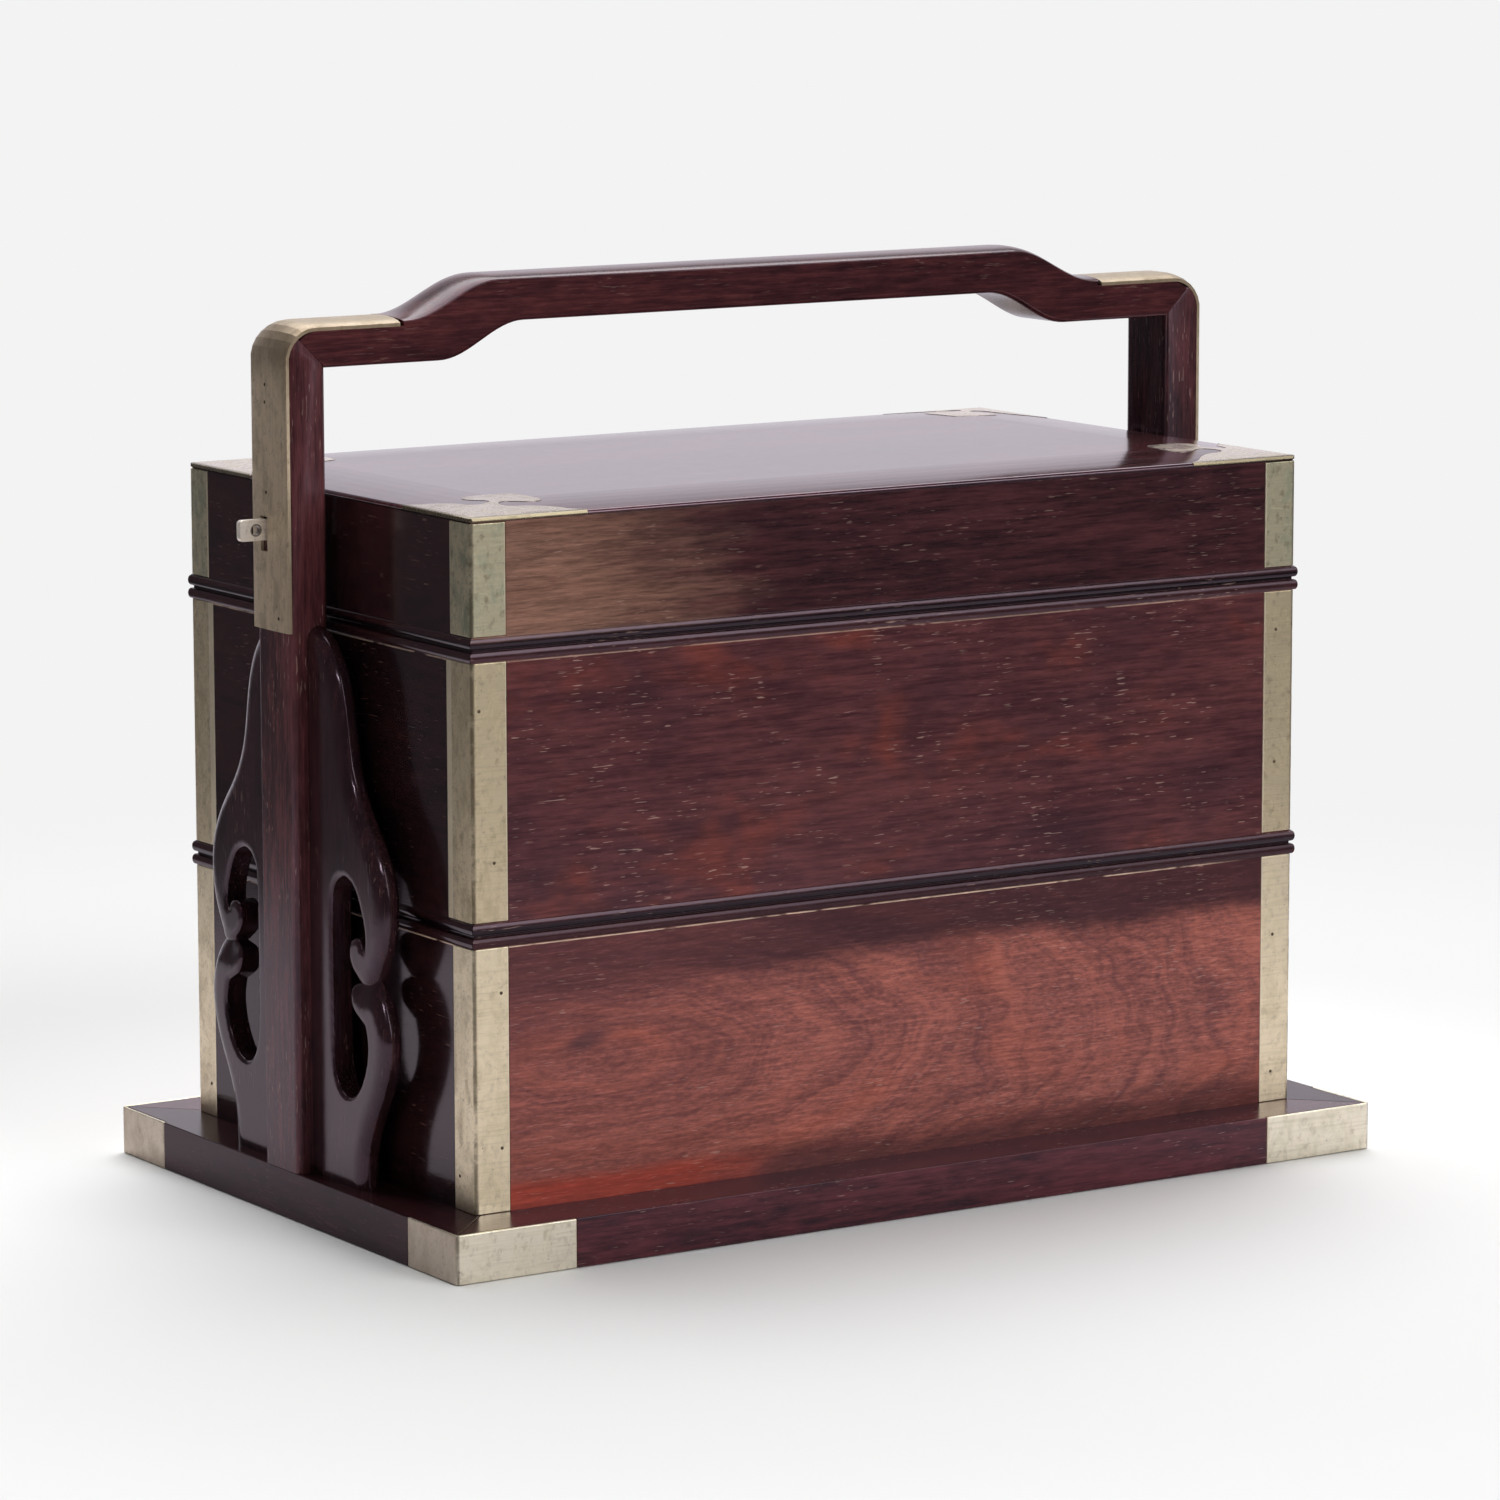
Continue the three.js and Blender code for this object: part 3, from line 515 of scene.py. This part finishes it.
def half_section(half_depth, covered):
    """From the underside's middle to the top's, each point up from the foot or down from the head."""
    low = arc((half_depth - arris_round, arris_round), arris_round, -90, 0, arris_steps)
    rows = [(0.0, 0.0, "foot")] + [(y, rise, "foot") for y, rise in low]
    if covered:
        rows += [(half_depth, -crown, "head")] * (edge_steps + 1)
        return rows + [(half_depth * share, -crown, "head") for share in dome_shares]
    edge_middle = (half_depth - edge_round, -domed(1.0 - edge_round / half_depth) - edge_round)
    rows += [(y, rise, "head") for y, rise in arc(edge_middle, edge_round, 0, edge_turn, edge_steps)]
    return rows + [(half_depth * share, -domed(share), "head") for share in dome_shares]


def section(foot, head, covered):
    """A closed ring of the bar between a point of its underside and one of its top."""
    foot, head = Vector(foot), Vector(head)
    up = (head - foot).normalized()
    half = half_section(bar_high.y, covered)
    ring = []
    for y, rise, end in half + [(-y, rise, end) for y, rise, end in half[-2:0:-1]]:
        at = (foot if end == "foot" else head) + up * rise
        ring.append((at.x, y, at.y))
    return ring


def loft(rings):
    """Points and faces of a closed skin through rings of equal length."""
    count = len(rings[0])
    starts = range(0, count * (len(rings) - 1), count)
    faces = [(i + k, i + (k + 1) % count, i + count + (k + 1) % count, i + count + k)
             for i in starts for k in range(count)]
    faces += [tuple(range(count)), tuple(range(starts.stop, starts.stop + count))]
    return [point for ring in rings for point in ring], faces


mitre = (post_inner, strap_high.x - corner_radius + inner_radius * math.sqrt(0.5))
seat = (under_half + under_run, strap_low.x)
stations = [(under_half * i / level_steps, hump_half * i / level_steps, False) for i in range(level_steps)]
stations += [(under_half + under_run * i / slope_steps, hump_half + hump_run * i / slope_steps, False)
             for i in range(slope_steps + 1)]
stations += [(*seat, False), (seat[0] + seat_step[0], seat[1] + seat_step[1], True)]
stations += [(seat[0] + (mitre[0] - seat[0]) * share, seat[1] + (mitre[1] - seat[1]) * share, True)
             for share in mitre_shares]
right_half = []
for foot_x, head_x, covered in stations:
    foot_height = along_hump(foot_x, under_half, under_run, under_rise, bar_low.z)
    right_half.append(section((foot_x, foot_height), (head_x, head_height(head_x)), covered))
left_half = [[(-x, y, z) for x, y, z in ring] for ring in right_half[:0:-1]]
bar = loose("handle_bar_domed", *loft(left_half + right_half), handle_wood, "carrier_wood", "carrier")
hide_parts("handle_bar")


def domed_copy(name, node, finish):
    """The strap over the bar's corner, its outer face domed like the bar's top."""
    bm = bmesh.new()
    bm.from_mesh(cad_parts[node].data)
    for share in dome_shares[:-1]:
        for y in (share * strap_high.y, -share * strap_high.y):
            geometry = bm.verts[:] + bm.edges[:] + bm.faces[:]
            bmesh.ops.bisect_plane(bm, geom=geometry, plane_co=(0.0, y, 0.0), plane_no=(0.0, 1.0, 0.0))
    centre = Vector((strap_high.x - corner_radius, 0.0, strap_high.z - corner_radius))
    for vertex in bm.verts:
        side = 1.0 if vertex.co.x > 0 else -1.0
        turn = math.atan2(max(vertex.co.z - centre.z, 0.0), max(abs(vertex.co.x) - centre.x, 0.0))
        drop = domed(min(abs(vertex.co.y) / strap_high.y, dome_limit))
        drop *= side_dome + (1.0 - side_dome) * math.sin(turn)
        vertex.co.x -= side * drop * math.cos(turn)
        vertex.co.z -= drop * math.sin(turn)
    points = [tuple(vertex.co) for vertex in bm.verts]
    bm.verts.index_update()
    faces = [tuple(vertex.index for vertex in face.verts) for face in bm.faces]
    bm.free()
    strap = loose(name, points, faces, finish, "white_metal", "carrier")
    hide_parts(node)


for side in ("left", "right"):
    domed_copy("handle_strap_domed_" + side, "handle_strap_" + side, post_metal)

# Standing brackets
# Four pierced scrolls that stay the posts on the base. Their outer edge is rounded like a rope, the edge
# of the eye less, and the upper scroll ends in a lip over the hollowed top of the lower one.
bracket_wood = hardwood(
    "bracket_wood", 2, tint(30, 17, 20), tint(52, 28, 31), gloss=0.16, flecks=0.15, relief=0.6, shine=0.6)
# Lines of the outline, the eye and the lip, as shares of a bracket's reach and height.
crest_shares = (
    (0.0, 1.0), (0.12, 0.989), (0.24, 0.963), (0.345, 0.926), (0.418, 0.874), (0.46, 0.817), (0.495, 0.771),
    (0.557, 0.728), (0.66, 0.685), (0.808, 0.639), (0.915, 0.596), (0.973, 0.553), (0.985, 0.507),
    (0.96, 0.461), (0.905, 0.424), (0.83, 0.388),
)
belly_shares = (
    (0.83, 0.388), (0.905, 0.355), (0.972, 0.318), (1.0, 0.284), (0.988, 0.246), (0.947, 0.209),
    (0.883, 0.172), (0.8, 0.135), (0.727, 0.095), (0.682, 0.054), (0.667, 0.0),
)
eye_shares = (
    (0.285, 0.27), (0.28, 0.4), (0.285, 0.5), (0.32, 0.542), (0.44, 0.562), (0.58, 0.55), (0.67, 0.515),
    (0.725, 0.475), (0.728, 0.448),
)
upper_hook_shares = (
    (0.728, 0.448), (0.7, 0.438), (0.672, 0.453), (0.6, 0.458), (0.53, 0.447), (0.517, 0.42), (0.565, 0.399),
)
lower_hook_shares = (
    (0.565, 0.399), (0.634, 0.382), (0.55, 0.37), (0.525, 0.352), (0.56, 0.328), (0.63, 0.315), (0.72, 0.303),
)
lower_eye_shares = (
    (0.72, 0.303), (0.752, 0.27), (0.735, 0.235), (0.68, 0.202), (0.6, 0.176), (0.49, 0.164), (0.38, 0.173),
    (0.31, 0.205), (0.289, 0.245), (0.285, 0.27),
)
lip_shares = ((0.634, 0.382), (0.7, 0.376), (0.77, 0.378), (0.83, 0.388))
# How far each rounding reaches in from its line, and how far it falls.
rope_width, rope_fall = 0.0056, 0.0034
eye_width, eye_fall = 0.0016, 0.0012
lip_width, lip_fall = 0.0022, 0.0016
hollow_width, hollow_fall = 0.009, 0.0018
lip_slack = 0.00001
thinnest = 0.0003
# Gaps between the points: along the lines, in rows beside them, and in the grid between.
fine, eye_share, tree_parts = 0.0012, 0.8, 6
row_steps, row_share, row_lip_gap = (0.00025, 0.0008, 0.0016, 0.0027, 0.004), 0.93, 0.0007
lip_steps, lip_share = (-0.00035, 0.00035, -0.0012, 0.0012), 1.2
grid_gap, grid_lip_gap = 0.0048, 0.0016
side_gap, twin_gap, join_gap = 0.0004, 0.00022, 0.000001
bracket_low, bracket_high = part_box("bracket_front_left")
bracket_size = bracket_high - bracket_low
bracket_x = abs(bracket_low.x + bracket_high.x) / 2
bracket_y, bracket_foot = abs(bracket_high.y), bracket_low.z
half_thickness = bracket_size.x / 2
bracket_sharp = 50.0


def smooth_line(shares, steps=6):
    """Points of a curve through the shares, each a place outward and upward in metres."""
    knots = [Vector((out * bracket_size.y, up * bracket_size.z)) for out, up in shares]
    line = []
    for i in range(len(knots) - 1):
        before, after = knots[max(i - 1, 0)], knots[min(i + 2, len(knots) - 1)]
        start, end = knots[i], knots[i + 1]
        leave, arrive = (end - before) / 2, (after - start) / 2
        for k in range(steps):
            t = k / steps
            bend = (start - end) * 2 + leave + arrive
            line.append(bend * t ** 3 + ((end - start) * 3 - leave * 2 - arrive) * t ** 2 + leave * t + start)
    return line + [knots[-1]]


def spaced(line, gap):
    """The same line with points about gap apart, its ends kept."""
    lengths = [(b - a).length for a, b in zip(line, line[1:])]
    whole = sum(lengths)
    count = max(round(whole / gap), 1)
    points = []
    i, gone = 0, 0.0
    for k in range(count):
        want = whole * k / count
        while gone + lengths[i] < want:
            gone += lengths[i]
            i += 1
        points.append(line[i].lerp(line[i + 1], (want - gone) / lengths[i]))
    return points + [line[-1]]


def tree_of(points):
    """A search tree of points in the plane."""
    tree = KDTree(len(points))
    for i, point in enumerate(points):
        tree.insert((point.x, point.y, 0.0), i)
    tree.balance()
    return tree


def nearest(tree, point):
    """How far a point lies from the nearest one of a tree."""
    return tree.find((point.x, point.y, 0.0))[2]


def rounding(distance, width, fall):
    """How far a rounded edge falls below the flat at a distance from it."""
    share = min(distance / width, 1.0)
    return fall * (1.0 - math.sqrt(1.0 - (1.0 - share) ** 2))


def inside(loop, point):
    """True where a point lies within a closed loop."""
    hits = False
    for a, b in zip(loop, loop[1:] + loop[:1]):
        if (a.y > point.y) != (b.y > point.y):
            if point.x < a.x + (b.x - a.x) * (point.y - a.y) / (b.y - a.y):
                hits = not hits
    return hits


def from_edges(spot):
    """How far a spot lies from the outline and from the eye, whichever is nearer."""
    return min(nearest(outer_tree, spot), nearest(eye_tree, spot))


def beside(loop, step):
    """Spots at a step to either side of each point of a loop."""
    spots = []
    for before, here, after in zip(loop[-1:] + loop[:-1], loop, loop[1:] + loop[:1]):
        way = (after - before).normalized()
        spots += [here + Vector((-way.y, way.x)) * step, here + Vector((way.y, -way.x)) * step]
    return spots


def inner_spots():
    """Spots within the face for the triangles: rows along its edges and its lip, and an even grid."""
    spots = []
    for step in row_steps:
        for loop in (rim, hole):
            spots += [spot for spot in beside(loop, step)
                      if from_edges(spot) > step * row_share and nearest(lip_tree, spot) > row_lip_gap]
    for step in lip_steps:
        spots += [spot + Vector((0.0, step)) for spot in lip if from_edges(spot) > abs(step) * lip_share]
    for i in range(int(bracket_size.y / fine) + 1):
        for k in range(int(bracket_size.z / fine) + 1):
            spot = Vector(((i + 0.5 * (k % 2)) * fine, k * fine))
            if from_edges(spot) > grid_gap and nearest(lip_tree, spot) > grid_lip_gap:
                spots.append(spot)
    kept = [spot for spot in spots if min(spot) > side_gap and inside(rim, spot) and not inside(hole, spot)]
    tree = tree_of(kept)
    return [spot for i, spot in enumerate(kept)
            if all(k >= i for _, k, _ in tree.find_range((spot.x, spot.y, 0.0), twin_gap))]


def thickness_at(spot):
    """Half the bracket's thickness: less at its edges, under the lip and in the hollow."""
    from_lip = nearest(lip_tree, spot)
    fall = rounding(nearest(outer_tree, spot), rope_width, rope_fall)
    fall += rounding(nearest(eye_tree, spot), eye_width, eye_fall)
    if spot.y > lip_tree.find((spot.x, spot.y, 0.0))[0].y + lip_slack:
        fall += rounding(from_lip, lip_width, lip_fall)
    else:
        fall += hollow_fall * (1.0 - min(from_lip / hollow_width, 1.0)) ** 2
    return max(half_thickness - fall, thinnest)


outer_lines = [smooth_line(crest_shares), smooth_line(belly_shares)]
eye_parts = (eye_shares, upper_hook_shares, lower_hook_shares, lower_eye_shares)
eye_lines = [smooth_line(shares) for shares in eye_parts]
lip_line = smooth_line(lip_shares)
outer_tree, eye_tree, lip_tree = [
    tree_of([point for line in lines for point in spaced(line, fine / tree_parts)])
    for lines in (outer_lines, eye_lines, [lip_line])]
foot_corner = Vector((0.0, 0.0))
rim = [point for line in outer_lines for point in spaced(line, fine)[:-1]]
rim += spaced([outer_lines[-1][-1], foot_corner], fine) + spaced([foot_corner, rim[0]], fine)[1:-1]
hole = [point for line in eye_lines for point in spaced(line, fine * eye_share)[:-1]]
lip = spaced(lip_line, fine)[1:-1]
lip_start = len(rim) + len(hole)
edges = [(i, (i + 1) % len(rim)) for i in range(len(rim))]
edges += [(len(rim) + i, len(rim) + (i + 1) % len(hole)) for i in range(len(hole))]
edges += [(lip_start + i, lip_start + i + 1) for i in range(len(lip) - 1)]
spots, _, triangles, _, _, _ = delaunay_2d_cdt(rim + hole + lip + inner_spots(), edges, [], 1, join_gap)
triangles = [t for t in triangles if not inside(hole, (spots[t[0]] + spots[t[1]] + spots[t[2]]) / 3)]
sides = Counter(tuple(sorted(side)) for t in triangles for side in zip(t, t[1:] + t[:1]))
count = len(spots)
bracket_faces = [tuple(t) for t in triangles] + [tuple(count + i for i in t[::-1]) for t in triangles]
bracket_faces += [(a, b, count + b, count + a) for (a, b), uses in sides.items() if uses == 1]
halves = [thickness_at(spot) for spot in spots]
for corner in corners:
    x_sign = -1.0 if corner.endswith("left") else 1.0
    y_sign = -1.0 if corner.startswith("front") else 1.0
    both = [(x_sign * bracket_x + face * half, y_sign * (bracket_y + spot.x), bracket_foot + spot.y)
            for face in (-1.0, 1.0) for spot, half in zip(spots, halves)]
    scroll = loose("bracket_scroll_" + corner, both, bracket_faces, bracket_wood, "carrier_wood", "carrier",
                   bracket_sharp)
    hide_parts("bracket_" + corner)

# Bolts
# A flat bolt of pale metal through a slot in each post, at the lid's height. Its outer end is pierced
# by an eye with a dark ring of painted shade round it.
bolt_low, bolt_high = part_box("bolt_right")
eye_inset = 0.0034
ring_start, ring_end, ring_shade = (0.0012, 0.0015), (0.0019, 0.0021), tint(74, 60, 46)
bolt_eye = (strap_high.x + eye_inset, (bolt_low.z + bolt_high.z) / 2)


def dark_ring(metal, place, colour):
    """Painted shade: a dark ring round the eye, standing for the shaded inside of the hole."""
    x, _, z = metal.split(place)
    from_eye = metal.length(metal.join(metal.maths("ABSOLUTE", x) - bolt_eye[0], 0.0, z - bolt_eye[1]))
    ring = metal.step(from_eye, *ring_start) * metal.fade(from_eye, *ring_end)
    return metal.mix(ring * 0.85, colour, ring_shade)


bolt_metal = white_metal(
    "bolt_metal", tint(255, 244, 232), tint(200, 186, 172), tarnish=0.3, gloss=0.3, metallic=0.6,
    paint=dark_ring)
dress(("bolt_left", "bolt_right"), bolt_metal, softening=0.0004)

# Lower tray
# Four mitred boards with a floor in their groove, and a sheet strap on each corner. The front board
# has a swirl of grain round a dark knot at its left, and a band of painted shade along its top.
joints = (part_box("upper_tray_front")[0].z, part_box("lid_front")[0].z)
# Heights from a joint of its two beads and the gap between them, dark with painted shade, and of the thin
# pale line below, a scuffed edge with a painted highlight.
bead_low, bead_high, bead_soft = -0.0036, 0.0036, 0.0003
gap_low, gap_high, gap_soft = -0.0002, 0.0022, 0.0004
line_low, line_high, line_soft = -0.0043, -0.0039, 0.0001
line_end, line_wear = (0.11, 0.14), (0.8, 0.35)
# Colours of the painted shade on the beads and in the gap, and of the pale line.
bead_shade, gap_shade, line_pale = tint(44, 22, 24), tint(8, 4, 5), tint(226, 196, 172)
# The swirl: where each patch of colour fades, and how far its edge wavers.
knot_x, knot_z = -0.1165, 0.066
knot_edge, knot_waver = (0.0012, 0.0045), 0.002
arc_stretch, arc_lean, arc_drop, arc_waver = 0.34, 0.12, 0.007, 0.016
band_edge, band_waver, band_thins = (0.083, 0.093), 0.012, (0.02, 0.1)
shade_edge, shade_lean = (0.102, 0.132), -0.35
left_edge, left_waver = (-0.085, -0.035), 0.04
glow_edge, glow_waver = (0.0205, 0.026), 0.006
foot_edge, foot_waver = (0.019, 0.028), 0.01
figure_dark, figure_pale, ember_red = tint(110, 63, 60), tint(166, 96, 82), tint(172, 88, 62)
knot_dark, top_band_shade, shade_dark = tint(46, 38, 46), tint(56, 29, 33), tint(84, 48, 52)
left_dark, glow_red, foot_shade = tint(104, 54, 50), tint(168, 60, 38), tint(70, 30, 30)


def beaded(wood, place, colour):
    """Painted shade on the beads, nearly black in the gap; below each a thin broken pale line, scuffed and
    with a painted highlight.
    """
    x, _, z = wood.split(place)
    breaks = wood.noise(place, (60.0, 60.0, 300.0))
    sheen = wood.step(breaks, 0.34, 0.46) * wood.fade(x, *line_end)
    for joint, weight in zip(joints, line_wear):
        bead = wood.within(z, joint + bead_low, joint + bead_high, bead_soft)
        gap = wood.within(z, joint + gap_low, joint + gap_high, gap_soft)
        line = wood.within(z, joint + line_low, joint + line_high, line_soft)
        colour = wood.mix(bead * 0.85, colour, bead_shade)
        colour = wood.mix(gap * 0.95, colour, gap_shade)
        colour = wood.mix(line * sheen * weight, colour, line_pale)
    return colour


def swirl(wood, place, colour):
    """Nested arcs that open to the left round a dark knot, painted shade in a band above and at the foot, and
    a red glow below.

    They cover the plain grain.
    """
    x, _, z = wood.split(place)
    right, up = x - knot_x, z - knot_z
    waver = wood.noise(place, (26.0, 26.0, 40.0), detail=2.0, roughness=0.5) - 0.5
    across = right * arc_stretch
    upward = up + arc_drop + across * arc_lean
    bend = wood.length(wood.join(across, 0.0, upward)) + waver * arc_waver
    arcs = wood.noise(wood.join(bend, 0.0, upward), (200.0, 1.0, 8.0), detail=4.0)
    threads = wood.noise(wood.join(bend, 0.0, upward), (700.0, 1.0, 30.0), detail=2.0)
    embers = wood.noise(wood.join(bend, 1.0, upward), (60.0, 1.0, 20.0), detail=2.0, roughness=0.5)
    specks = wood.noise(place, (400.0, 400.0, 1300.0), detail=2.0)
    tone = wood.step(arcs * 0.45 + threads * 0.22 + specks * 0.33, 0.37, 0.63)
    colour = wood.mix(tone, figure_dark, figure_pale)
    from_knot = wood.length(wood.join(right * 0.36 + up * 0.1, 0.0, up - right * 0.25))
    height = z + wood.noise(place, (25.0, 25.0, 60.0), roughness=0.5) * band_waver
    band = wood.step(height, *band_edge) * (0.9 - wood.step(x * -1.0, *band_thins) * 0.25)
    left = wood.fade(x + waver * left_waver, *left_edge)
    # Painted shade: the band along the top, the darker upper corner and the dark foot.
    washes = (
        (wood.step(embers, 0.5, 0.7) * 0.4, ember_red),
        (wood.fade(from_knot + waver * knot_waver, *knot_edge) * 0.75, knot_dark),
        (band, top_band_shade),
        (wood.step(height + x * shade_lean, *shade_edge) * 0.5, shade_dark),
        (left * 0.25, left_dark),
        (wood.fade(z + waver * glow_waver, *glow_edge) * left * 0.75, glow_red),
        (wood.fade(z + waver * foot_waver, *foot_edge) * (1.0 - left) * 0.7, foot_shade),
    )
    for mask, wash in washes:
        colour = wood.mix(mask, colour, wash)
    return beaded(wood, place, colour)


lower_front_wood = hardwood(
    "lower_front_wood", 0, plum, plum, gloss=0.26, flecks=0.3, relief=0.8, paint=swirl, shine=0.3)
lower_back_wood = hardwood(
    "lower_back_wood", 0, tint(96, 52, 48), tint(132, 72, 62), gloss=0.26, flecks=0.2, relief=0.8,
    paint=beaded)
# The ends of the trays and of the lid take a much darker copy of the wood: painted shade.
shaded_tray_end_wood = hardwood(
    "shaded_tray_end_wood", 1, tint(26, 14, 16), tint(44, 22, 23), gloss=0.12, flecks=0.1, relief=0.6, paint=beaded)
inner_wood = hardwood("inner_wood", 0, tint(72, 42, 34), tint(112, 68, 52), gloss=0.4, flecks=0.2)
strap_metal = white_metal(
    "strap_metal", tint(246, 232, 200), tint(180, 166, 134), tarnish=0.35, fold=strap_fold)
dress(("lower_tray_front",), lower_front_wood)
dress(("lower_tray_back",), lower_back_wood)
dress(("lower_tray_left", "lower_tray_right"), shaded_tray_end_wood)
dress(("lower_tray_floor",), inner_wood)
dress(["lower_tray_strap_" + corner for corner in corners], strap_metal)

# Upper tray
# The same boards, darker and more flecked, with faint orange patches on the front. Its corner straps
# are greyer than the lower tray's.
glow_orange, shade_plum = tint(124, 58, 42), tint(58, 34, 40)


def patched(wood, place, colour):
    """Soft orange and dark patches over the grain."""
    glow = wood.noise(place, (22.0, 22.0, 30.0), distortion=0.4)
    shade = wood.noise(place, (30.0, 30.0, 44.0), distortion=0.4)
    colour = wood.mix(wood.step(glow, 0.5, 0.7) * 0.5, colour, glow_orange)
    colour = wood.mix(wood.step(shade, 0.5, 0.7) * 0.5, colour, shade_plum)
    return beaded(wood, place, colour)


upper_front_wood = hardwood(
    "upper_front_wood", 0, tint(66, 34, 38), tint(92, 50, 50), gloss=0.22, flecks=0.4, relief=0.8,
    paint=patched, shine=0.45)
upper_metal = white_metal(
    "upper_metal", tint(228, 212, 178), tint(150, 138, 108), tarnish=0.5, fold=strap_fold)
dress(("upper_tray_front", "upper_tray_back"), upper_front_wood)
dress(("upper_tray_left", "upper_tray_right"), shaded_tray_end_wood)
dress(("upper_tray_floor",), inner_wood)
dress(["upper_tray_strap_" + corner for corner in corners], upper_metal)

# Lid
# Four boards and a slightly crowned top, with straps and cloud-headed plates at the corners. The front
# board fades from a brown painted sheen at its left to nearly black.
lid_dark, lid_warm = tint(44, 22, 26), tint(68, 35, 36)
sheen_dark, sheen_pale = tint(106, 68, 56), tint(160, 124, 104)
sheen_violet, turn_shade = tint(176, 156, 170), tint(130, 120, 98)
sheen_edge, sheen_waver, sheen_lean = (-0.13, -0.03), 0.16, 0.6
plate_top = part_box("lid_plate_front_left")[1].z
turn_low, turn_high = plate_top - 0.0021, plate_top - 0.0017


def sheen_left(wood, place, colour):
    """A painted sheen: brown and streaky at the left, dark from the middle on."""
    x, _, z = wood.split(place)
    waver = wood.noise(place, (16.0, 16.0, 90.0), detail=4.0)
    sheen = wood.fade(x + (waver - 0.5) * sheen_waver + (z - joints[1]) * sheen_lean, *sheen_edge)
    colour = wood.mix(sheen * 0.85, colour, wood.mix(waver, sheen_dark, sheen_pale))
    return beaded(wood, place, colour)


def sheen_streaks(wood, place, colour):
    """Painted reflection: faint pale streaks along the grain."""
    streaks = wood.noise(place, (9.0, 260.0, 1.0), detail=4.0, roughness=0.65)
    return wood.mix(wood.step(streaks, 0.45, 0.7) * 0.1, colour, sheen_violet)


def folded(metal, place, colour):
    """Painted shade: darker and yellower where the plate turns down over the lid's edge."""
    return metal.mix(metal.fade(metal.split(place)[2], turn_low, turn_high), colour, turn_shade)


lid_front_wood = hardwood("lid_front_wood", 0, lid_dark, lid_warm, gloss=0.2, flecks=0.2, paint=sheen_left)
lid_back_wood = hardwood("lid_back_wood", 0, lid_dark, lid_warm, gloss=0.2, flecks=0.2, paint=beaded)
lid_top_wood = hardwood(
    "lid_top_wood", 0, tint(44, 22, 25), plum, gloss=0.15, flecks=0.1, paint=sheen_streaks, shine=1.0)
lid_metal = white_metal("lid_metal", tint(222, 212, 180), tint(132, 142, 122), tarnish=0.7, fold=strap_fold)
plate_metal = white_metal(
    "plate_metal", tint(214, 204, 192), tint(172, 160, 142), tarnish=0.4, gloss=0.26, paint=folded)
dress(("lid_front",), lid_front_wood)
dress(("lid_back",), lid_back_wood)
dress(("lid_left", "lid_right"), shaded_tray_end_wood)
dress(("lid_top",), lid_top_wood, softening=0.0)
dress(["lid_strap_" + corner for corner in corners], lid_metal)
dress(["lid_plate_" + corner for corner in corners], plate_metal, softening=0.00015)

# Pins
# Small dark round heads, a little proud of the straps and mounts that they hold. The back's repeat the
# front's, and the right end's the left end's.
pin_metal = white_metal("pin_metal", tint(96, 82, 66), tint(60, 48, 40), tarnish=0.8, gloss=0.5)
pin_radius, pin_sides, pin_sink = 0.00055, 12, 0.35
pin_profile = ((-0.5, 1.0), (0.12, 1.0), (0.26, 0.75), (0.34, 0.4))
tray_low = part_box("lower_tray_strap_front_left")[0]
mount_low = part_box("base_mount_front_left")[0]
# Places of the pins on the long sides (x, z), and on the posts and the trays' ends (y, z).
strap_pins = {"left": ((0.1470, 0.0842), (0.1471, 0.0357)), "right": ((0.1490, 0.0720), (0.1488, 0.0257))}
upper_pins = {"left": ((0.1491, 0.1248), (0.1540, 0.1720)), "right": ((0.1490, 0.1300), (0.1490, 0.1740))}
mount_pins = ((0.1613, 0.0082), (0.1560, 0.0053), (0.1358, 0.0074), (0.1344, 0.0022))
post_pins = ((0.0019, 0.2651), (0.0021, 0.2596), (0.0019, 0.2313), (-0.0052, 0.1922))
end_pin = (0.0816, 0.0263)


def pin_heads(name, spots, body):
    """Low domes, each at a spot and facing along a way."""
    points, faces = [], []
    for spot, way in spots:
        way = Vector(way)
        first = way.orthogonal().normalized()
        second = way.cross(first)
        rings = []
        for rise, share in pin_profile:
            circle = arc((0.0, 0.0), share, 0, 360 - 360 / pin_sides, pin_sides - 1)
            ring = [way * rise + first * a + second * b for a, b in circle]
            rings.append([Vector(spot) + point * pin_radius for point in ring])
        head_points, head_faces = loft(rings)
        faces += [tuple(len(points) + i for i in face) for face in head_faces]
        points += head_points
    return loose(name, points, faces, pin_metal, "white_metal", body)


lower_spots, upper_spots, carrier_spots = [], [], []
mount_face = -(mount_low.y + pin_sink * pin_radius)
for side, x_sign in (("left", -1.0), ("right", 1.0)):
    end = (x_sign, 0.0, 0.0)
    for y_sign in (-1.0, 1.0):
        front = (0.0, y_sign, 0.0)
        lower_spots += [((x_sign * x, -y_sign * tray_low.y, z), front) for x, z in strap_pins[side]]
        upper_spots += [((x_sign * x, -y_sign * tray_low.y, z), front) for x, z in upper_pins[side]]
        lower_spots.append(((-x_sign * tray_low.x, y_sign * end_pin[0], end_pin[1]), end))
        carrier_spots += [((x_sign * x, y_sign * mount_face, z), front) for x, z in mount_pins]
    carrier_spots += [((x_sign * strap_high.x, y, z), end) for y, z in post_pins]
pin_heads("lower_pins", lower_spots, "lower_tray")
pin_heads("upper_pins", upper_spots, "upper_tray")
pin_heads("carrier_pins", carrier_spots, "carrier")
